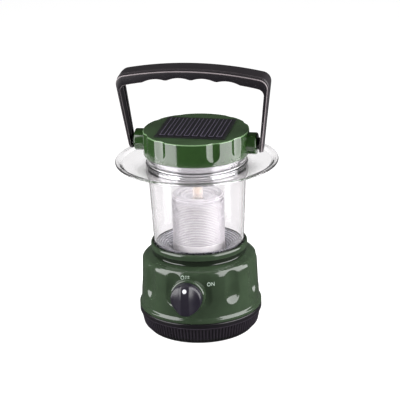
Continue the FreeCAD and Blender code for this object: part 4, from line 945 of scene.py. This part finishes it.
def half_hoop(foot, spread, top, corner):
    """Right half of a hoop seen from the front, from the end of its arm to the middle of its
    roof: a straight leaning arm, a round corner, and an arched roof. The corner's centre lies
    at its own radius from the arm and at the roof's radius less its own from the roof's centre,
    which gives a quadratic for its distance up the arm."""
    shoulder = foot + spread
    slant = spread / (top - HANDLE_ARCH)
    way = unit(np.array([slant, 1.0]))
    inward = np.array([-way[1], way[0]])
    roof_radius = (shoulder ** 2 + HANDLE_ARCH ** 2) / (2 * HANDLE_ARCH)
    roof_centre = np.array([0, top - roof_radius])
    start = np.array([foot, 0.0]) + corner * inward - roof_centre
    half_b = start @ way
    lift = -half_b + math.sqrt(half_b ** 2 - start @ start + (roof_radius - corner) ** 2)
    centre = start + roof_centre + lift * way
    height = np.linspace(ARM_END, centre[1] - corner * inward[1], 40)[:, None]
    arm = np.array([foot, 0.0]) + height * np.array([slant, 1.0])
    first = math.atan2(*(-inward)[::-1])
    outward = centre - roof_centre
    last = math.atan2(outward[1], outward[0])
    turn = np.linspace(first, last, 16)[1:-1, None]
    bend = centre + corner * np.hstack([np.cos(turn), np.sin(turn)])
    sweep = np.linspace(last, math.pi / 2, 70)[:, None]
    roof = roof_centre + roof_radius * np.hstack([np.cos(sweep), np.sin(sweep)])
    return np.vstack([arm, bend, roof])


def whole_hoop(half):
    """Both halves of a hoop, from the left arm's end over the roof to the right arm's end."""
    return np.vstack([half * [-1, 1], half[-2::-1]])


outer_hoop = whole_hoop(half_hoop(ARM_X + ARM_WALL, 6.2, HANDLE_REACH, 7.0))
inner_hoop = whole_hoop(half_hoop(ARM_X, 5.3, HANDLE_REACH - GRIP_THICKNESS, 5.0))
finger = np.mod(inner_hoop[:, 0] + FINGER_PITCH * 8, FINGER_PITCH) - FINGER_PITCH / 2
under_grip = (np.abs(inner_hoop[:, 0]) < FINGER_PITCH * 2) & (inner_hoop[:, 1] > ABOVE_ARMS)
finger_arch = FINGER_DEPTH * np.clip(1 - (finger / FINGER_HALF_WIDTH) ** 2, 0, 1)
inner_hoop[:, 1] += np.where(under_grip, finger_arch, 0)


def leaned(points):
    """Points of the upright handle, turned forward about its pivots and lifted to them."""
    x, y, z = points[..., 0], points[..., 1], points[..., 2]
    cosine, sine = math.cos(HANDLE_LEAN), math.sin(HANDLE_LEAN)
    return np.stack([x, y * cosine - z * sine, z * cosine + y * sine + pivot_height], -1)


def handle_grid():
    """Channel carried along the hoop. At each station a closed outline runs across the raised
    band and both shoulders of the skin, down each flange and back through the hollow; its
    depths lie along the line from the outer to the inner hoop."""
    inward = inner_hoop - outer_hoop
    thick = np.linalg.norm(inward, axis=1)
    height = outer_hoop[:, 1]
    taper = np.interp(height, [0, HANDLE_REACH - HANDLE_ARCH], [PIVOT_HALF_WIDTH, GRIP_HALF_WIDTH])
    round_end = np.sqrt(np.maximum(PIVOT_HALF_WIDTH ** 2 - height ** 2, 0.04))
    half = np.where(height < 0, round_end, taper)
    lip = np.minimum(LIP, half * 0.45)
    skin = np.minimum(SKIN, thick * 0.7)
    low = np.full_like(half, BAND_STEP)
    zero = np.zeros_like(half)
    across = np.stack([-half, -half * 0.62, -half * 0.55, half * 0.55, half * 0.62, half, half,
                       half - lip, half - lip, lip - half, lip - half, -half], -1)
    depth = np.stack([low, low, zero, zero, low, low, thick, thick, skin, skin, thick, thick], -1)
    radii = np.array([0.8, 0.25, 0.3, 0.3, 0.25, 0.8, 0.5, 0.4, 0.4, 0.4, 0.4, 0.5])
    limit = np.minimum(half * 0.1, thick * 0.12)[:, None]
    outline = rounded(np.stack([across, depth], -1), np.minimum(radii, limit * 2), steps=5)
    spot = outer_hoop[:, None] + unit(inward)[:, None] * outline[..., 1:]
    return leaned(np.stack([spot[..., 0], outline[..., 0], spot[..., 1]], -1))


# Painted highlight: pale lines along the handle's rounded edges, faint along the top of its skin.
across_edge = np.tile([0, 0.6, 1, 0.6, 0], 12)
edge_highlight_weight = np.repeat([1, 0.45, 0.45, 0.45, 0.45, 1, 0.7, 0.2, 0.2, 0.2, 0.2, 0.7], 5)
top_sheen_weight = 0.045 * np.repeat([0.5, 1, 0], [5, 20, 35])
piece("carry_handle", handle_grid(), SATIN, "handle", ["handle"], sharp=50,
      edge_highlight=across_edge * edge_highlight_weight + top_sheen_weight)


def rib_grid(x):
    """Cross rib in the grip's hollow: a rounded upright outline carried from flange to flange."""
    station = np.argmin(np.abs(outer_hoop[:, 0] - x) + (outer_hoop[:, 1] < ABOVE_ARMS) * FAR_OUT)
    high, low = outer_hoop[station, 1] - 1.4, inner_hoop[station, 1] + 0.2
    outline = rounded([(x - 0.7, low), (x + 0.7, low), (x + 0.7, high), (x - 0.7, high)],
                      [0.3, 0.3, 0.1, 0.1])
    across = np.array([-7.4, -7.4, 7.4, 7.4])[:, None]
    flat = np.array([0, 1, 1, 0])[:, None, None]
    middle = outline.mean(0)
    spread = middle + (outline - middle) * flat
    return leaned(np.stack([spread[..., 0], across + spread[..., 0] * 0, spread[..., 1]], -1))


for number in range(5):
    piece(f"grip_rib_{number + 1}", rib_grid((number - 2) * FINGER_PITCH), SATIN, "handle")
for side, label in ((-1, "left"), (1, "right")):
    pin = profile([
        (0, PIN_INNER_END, 0), (PIN_RADIUS, PIN_INNER_END, 0.4), (PIN_RADIUS, PIN_DISC_FACE, 0),
        (PIN_DISC_RADIUS, PIN_DISC_FACE, 0.4), (PIN_DISC_RADIUS, ARM_X, 0), (PIN_RADIUS, ARM_X, 0),
        (PIN_RADIUS, PIN_OUTER_END, 0.5), (0.9, PIN_OUTER_END, 0.2), (0.7, PIN_OUTER_END - 0.6, 0.1),
        (0, PIN_OUTER_END - 0.6, 0),
    ])
    piece("hinge_pin_" + label, along_x(turned(pin, 96), pivot_height, side), SATIN, "handle",
          ["pivot_pin_" + label])


# ---- legends beside the knob
def wall_radius(height):
    """Outside radius of the base at a height, between its skirt and its neck."""
    first = np.argmax(housing_outline[:, 1] > housing_foot + 6)
    last = np.argmax(housing_outline[:, 0] < NECK_RADIUS + 1)
    outer = housing_outline[first:last]
    return np.interp(height, outer[:, 1], outer[:, 0])


def legend(name, words, turned_by, height):
    """Raised print: flat letters wrapped round the wall, so that a point x along the line
    stands at the angle x / wall from the middle, just proud of the wall at its own height."""
    curve = bpy.data.curves.new(name, "FONT")
    curve.body = words
    curve.size = LEGEND_SIZE * MM
    curve.align_x = "CENTER"
    curve.align_y = "CENTER"
    curve.extrude = LEGEND_THICKNESS * MM
    curve.offset = -0.02 * MM
    curve.space_character = 1.12
    holder = put(name, curve)
    bpy.context.view_layer.update()
    mesh = bpy.data.meshes.new_from_object(holder)
    bpy.data.objects.remove(holder)
    flat = np.empty(len(mesh.vertices) * 3)
    mesh.vertices.foreach_get("co", flat)
    flat = flat.reshape(-1, 3)
    rise = flat[:, 1] * LEGEND_STRETCH + height * MM
    wall = wall_radius(rise / MM) * MM
    angle = flat[:, 0] / wall + math.radians(turned_by)
    radius = wall + flat[:, 2] + 0.03 * MM
    placed = np.column_stack([radius * np.sin(angle), -radius * np.cos(angle), rise])
    mesh.vertices.foreach_set("co", placed.ravel())
    return dressed(name, mesh, PRINT, "base")


legend("legend_off", "OFF", -2.8, 52.1)
legend("legend_on", "ON", 22.4, 47.1)


# ---- finish of the carried-over nodes
NODE_FINISHES = {
    "cover_seal": SEAL, "battery_holder": INNER, "battery_cells": SLEEVE, "upper_contacts": BRIGHT,
    "lower_contacts": BRIGHT, "contact_tray": INNER, "holder_screws": STEEL, "switch_body": INNER,
    "switch_nut": STEEL, "switch_shaft": STEEL, "charge_board": BOARD, "board_parts": PARTS,
    "board_screws": STEEL, "lamp_post": INNER, "bulb_socket": BRIGHT, "cap_screws": STEEL,
    "solar_board": PANEL_BOARD, "solar_cells": FILM, "panel_diode": PARTS, "pivot_clips": STEEL,
}
for node, material in NODE_FINISHES.items():
    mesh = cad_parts[node].data
    mesh.materials.clear()
    mesh.materials.append(material)


# ---- floor, light and camera
CAMERA_TURN = math.radians(12.2)
CAMERA_RISE = math.radians(19.83)
CAMERA_ROLL = math.radians(1.62)
CAMERA_DISTANCE = 1.3158
CAMERA_LENS = 162.0
AIM = Vector((0, 0, 0.080))
AIM_RIGHT = 0.00103
AIM_UP = 0.0155
SOFTBOX_TURN = 70
SOFTBOX_AWAY = 0.35
SOFTBOX_HEIGHT = 0.60
SOFTBOX_STRENGTH = 6.0
TABLE_REACH = 3.0


def around_camera(degrees, distance, height=0.0):
    """Point at an angle to the right of the camera's side of the lantern."""
    angle = CAMERA_TURN + math.radians(degrees)
    return Vector((distance * math.sin(angle), -distance * math.cos(angle), height))


def softbox(name, degrees, width):
    """Upright panel of light that stands on the table and faces the lantern."""
    light = bpy.data.lights.new(name, "AREA")
    light.shape = "RECTANGLE"
    light.size = width
    light.size_y = SOFTBOX_HEIGHT
    light.energy = SOFTBOX_STRENGTH * width * SOFTBOX_HEIGHT * math.pi
    made = put(name, light)
    made.location = around_camera(degrees, SOFTBOX_AWAY, SOFTBOX_HEIGHT / 2)
    away = Vector((made.location.x, made.location.y, 0)).normalized()
    made.rotation_euler = away.to_track_quat("Z", "Y").to_euler()
    made.visible_camera = False


softbox("softbox_left", -SOFTBOX_TURN, 0.37)
softbox("softbox_right", SOFTBOX_TURN, 0.49)

floor_paint = Paint("table_white", Specular_IOR_Level=0.0, Emission_Strength=0.85)
mottle = floor_paint.noise(8, 2)
floor_paint.colour(floor_paint.blend(mottle, (0.42, 0.42, 0.42, 1), (0.46, 0.46, 0.46, 1)))
seen = floor_paint.add("LightPath", out="Is Camera Ray")
through = floor_paint.add("LightPath", out="Is Transmission Ray") * 0.8
floor_paint.glow(floor_paint.blend(seen.or_more(through), (0, 0, 0, 1), (1, 1, 1, 1)))
floor_paint.roughness(0.8 + mottle * 0.1)
corners = [(x * TABLE_REACH, y * TABLE_REACH, 0) for x, y in ((-1, -1), (1, -1), (1, 1), (-1, 1))]
floor_mesh = bpy.data.meshes.new("table_top")
floor_mesh.from_pydata(corners, [], [(0, 1, 2, 3)])
floor_mesh.materials.append(floor_paint.material)
table_top = put("table_top", floor_mesh)
table_top.location.z = -0.0002
table_top.visible_glossy = False

world = bpy.data.worlds.new("studio")
world.use_nodes = True
bpy.context.scene.world = world
tree = world.node_tree
tree.nodes.clear()
path = tree.nodes.new("ShaderNodeLightPath")


def backdrop(strength):
    """Plain surroundings of one brightness."""
    node = tree.nodes.new("ShaderNodeBackground")
    node.inputs["Strength"].default_value = strength
    return node.outputs[0]


def where(ray, first, second, most=1.0):
    """Second surroundings for one kind of ray and the first otherwise. Where most is below one,
    the first keep a share for that kind too."""
    share = tree.nodes.new("ShaderNodeMath")
    share.operation = "MINIMUM"
    share.inputs[1].default_value = most
    node = tree.nodes.new("ShaderNodeMixShader")
    tree.links.new(path.outputs[ray], share.inputs[0])
    for socket, value in zip(node.inputs, (share.outputs[0], first, second)):
        tree.links.new(value, socket)
    return node.outputs[0]


surroundings = where("Is Glossy Ray", backdrop(0.32), backdrop(0.10))
surroundings = where("Transmission Depth", surroundings, backdrop(0.7), most=0.5)
surroundings = where("Is Transmission Ray", surroundings, backdrop(1.0))
surroundings = where("Is Camera Ray", surroundings, backdrop(1.0))
world_out = tree.nodes.new("ShaderNodeOutputWorld")
tree.links.new(surroundings, world_out.inputs["Surface"])

out_of_view = around_camera(0, math.cos(CAMERA_RISE))
out_of_view.z = math.sin(CAMERA_RISE)
level_right = Vector((math.cos(CAMERA_TURN), math.sin(CAMERA_TURN), 0))
level_up = out_of_view.cross(level_right)
right = level_right * math.cos(CAMERA_ROLL) - level_up * math.sin(CAMERA_ROLL)
up = level_up * math.cos(CAMERA_ROLL) + level_right * math.sin(CAMERA_ROLL)
camera_data = bpy.data.cameras.new("camera")
camera_data.sensor_width = 36.0
camera_data.lens = CAMERA_LENS
camera = put("camera", camera_data)
camera.matrix_world = (
    Matrix.Translation(AIM + out_of_view * CAMERA_DISTANCE + right * AIM_RIGHT + up * AIM_UP)
    @ Matrix((right, up, out_of_view)).transposed().to_4x4()
)
bpy.context.scene.camera = camera
bpy.context.scene.view_settings.view_transform = "Standard"
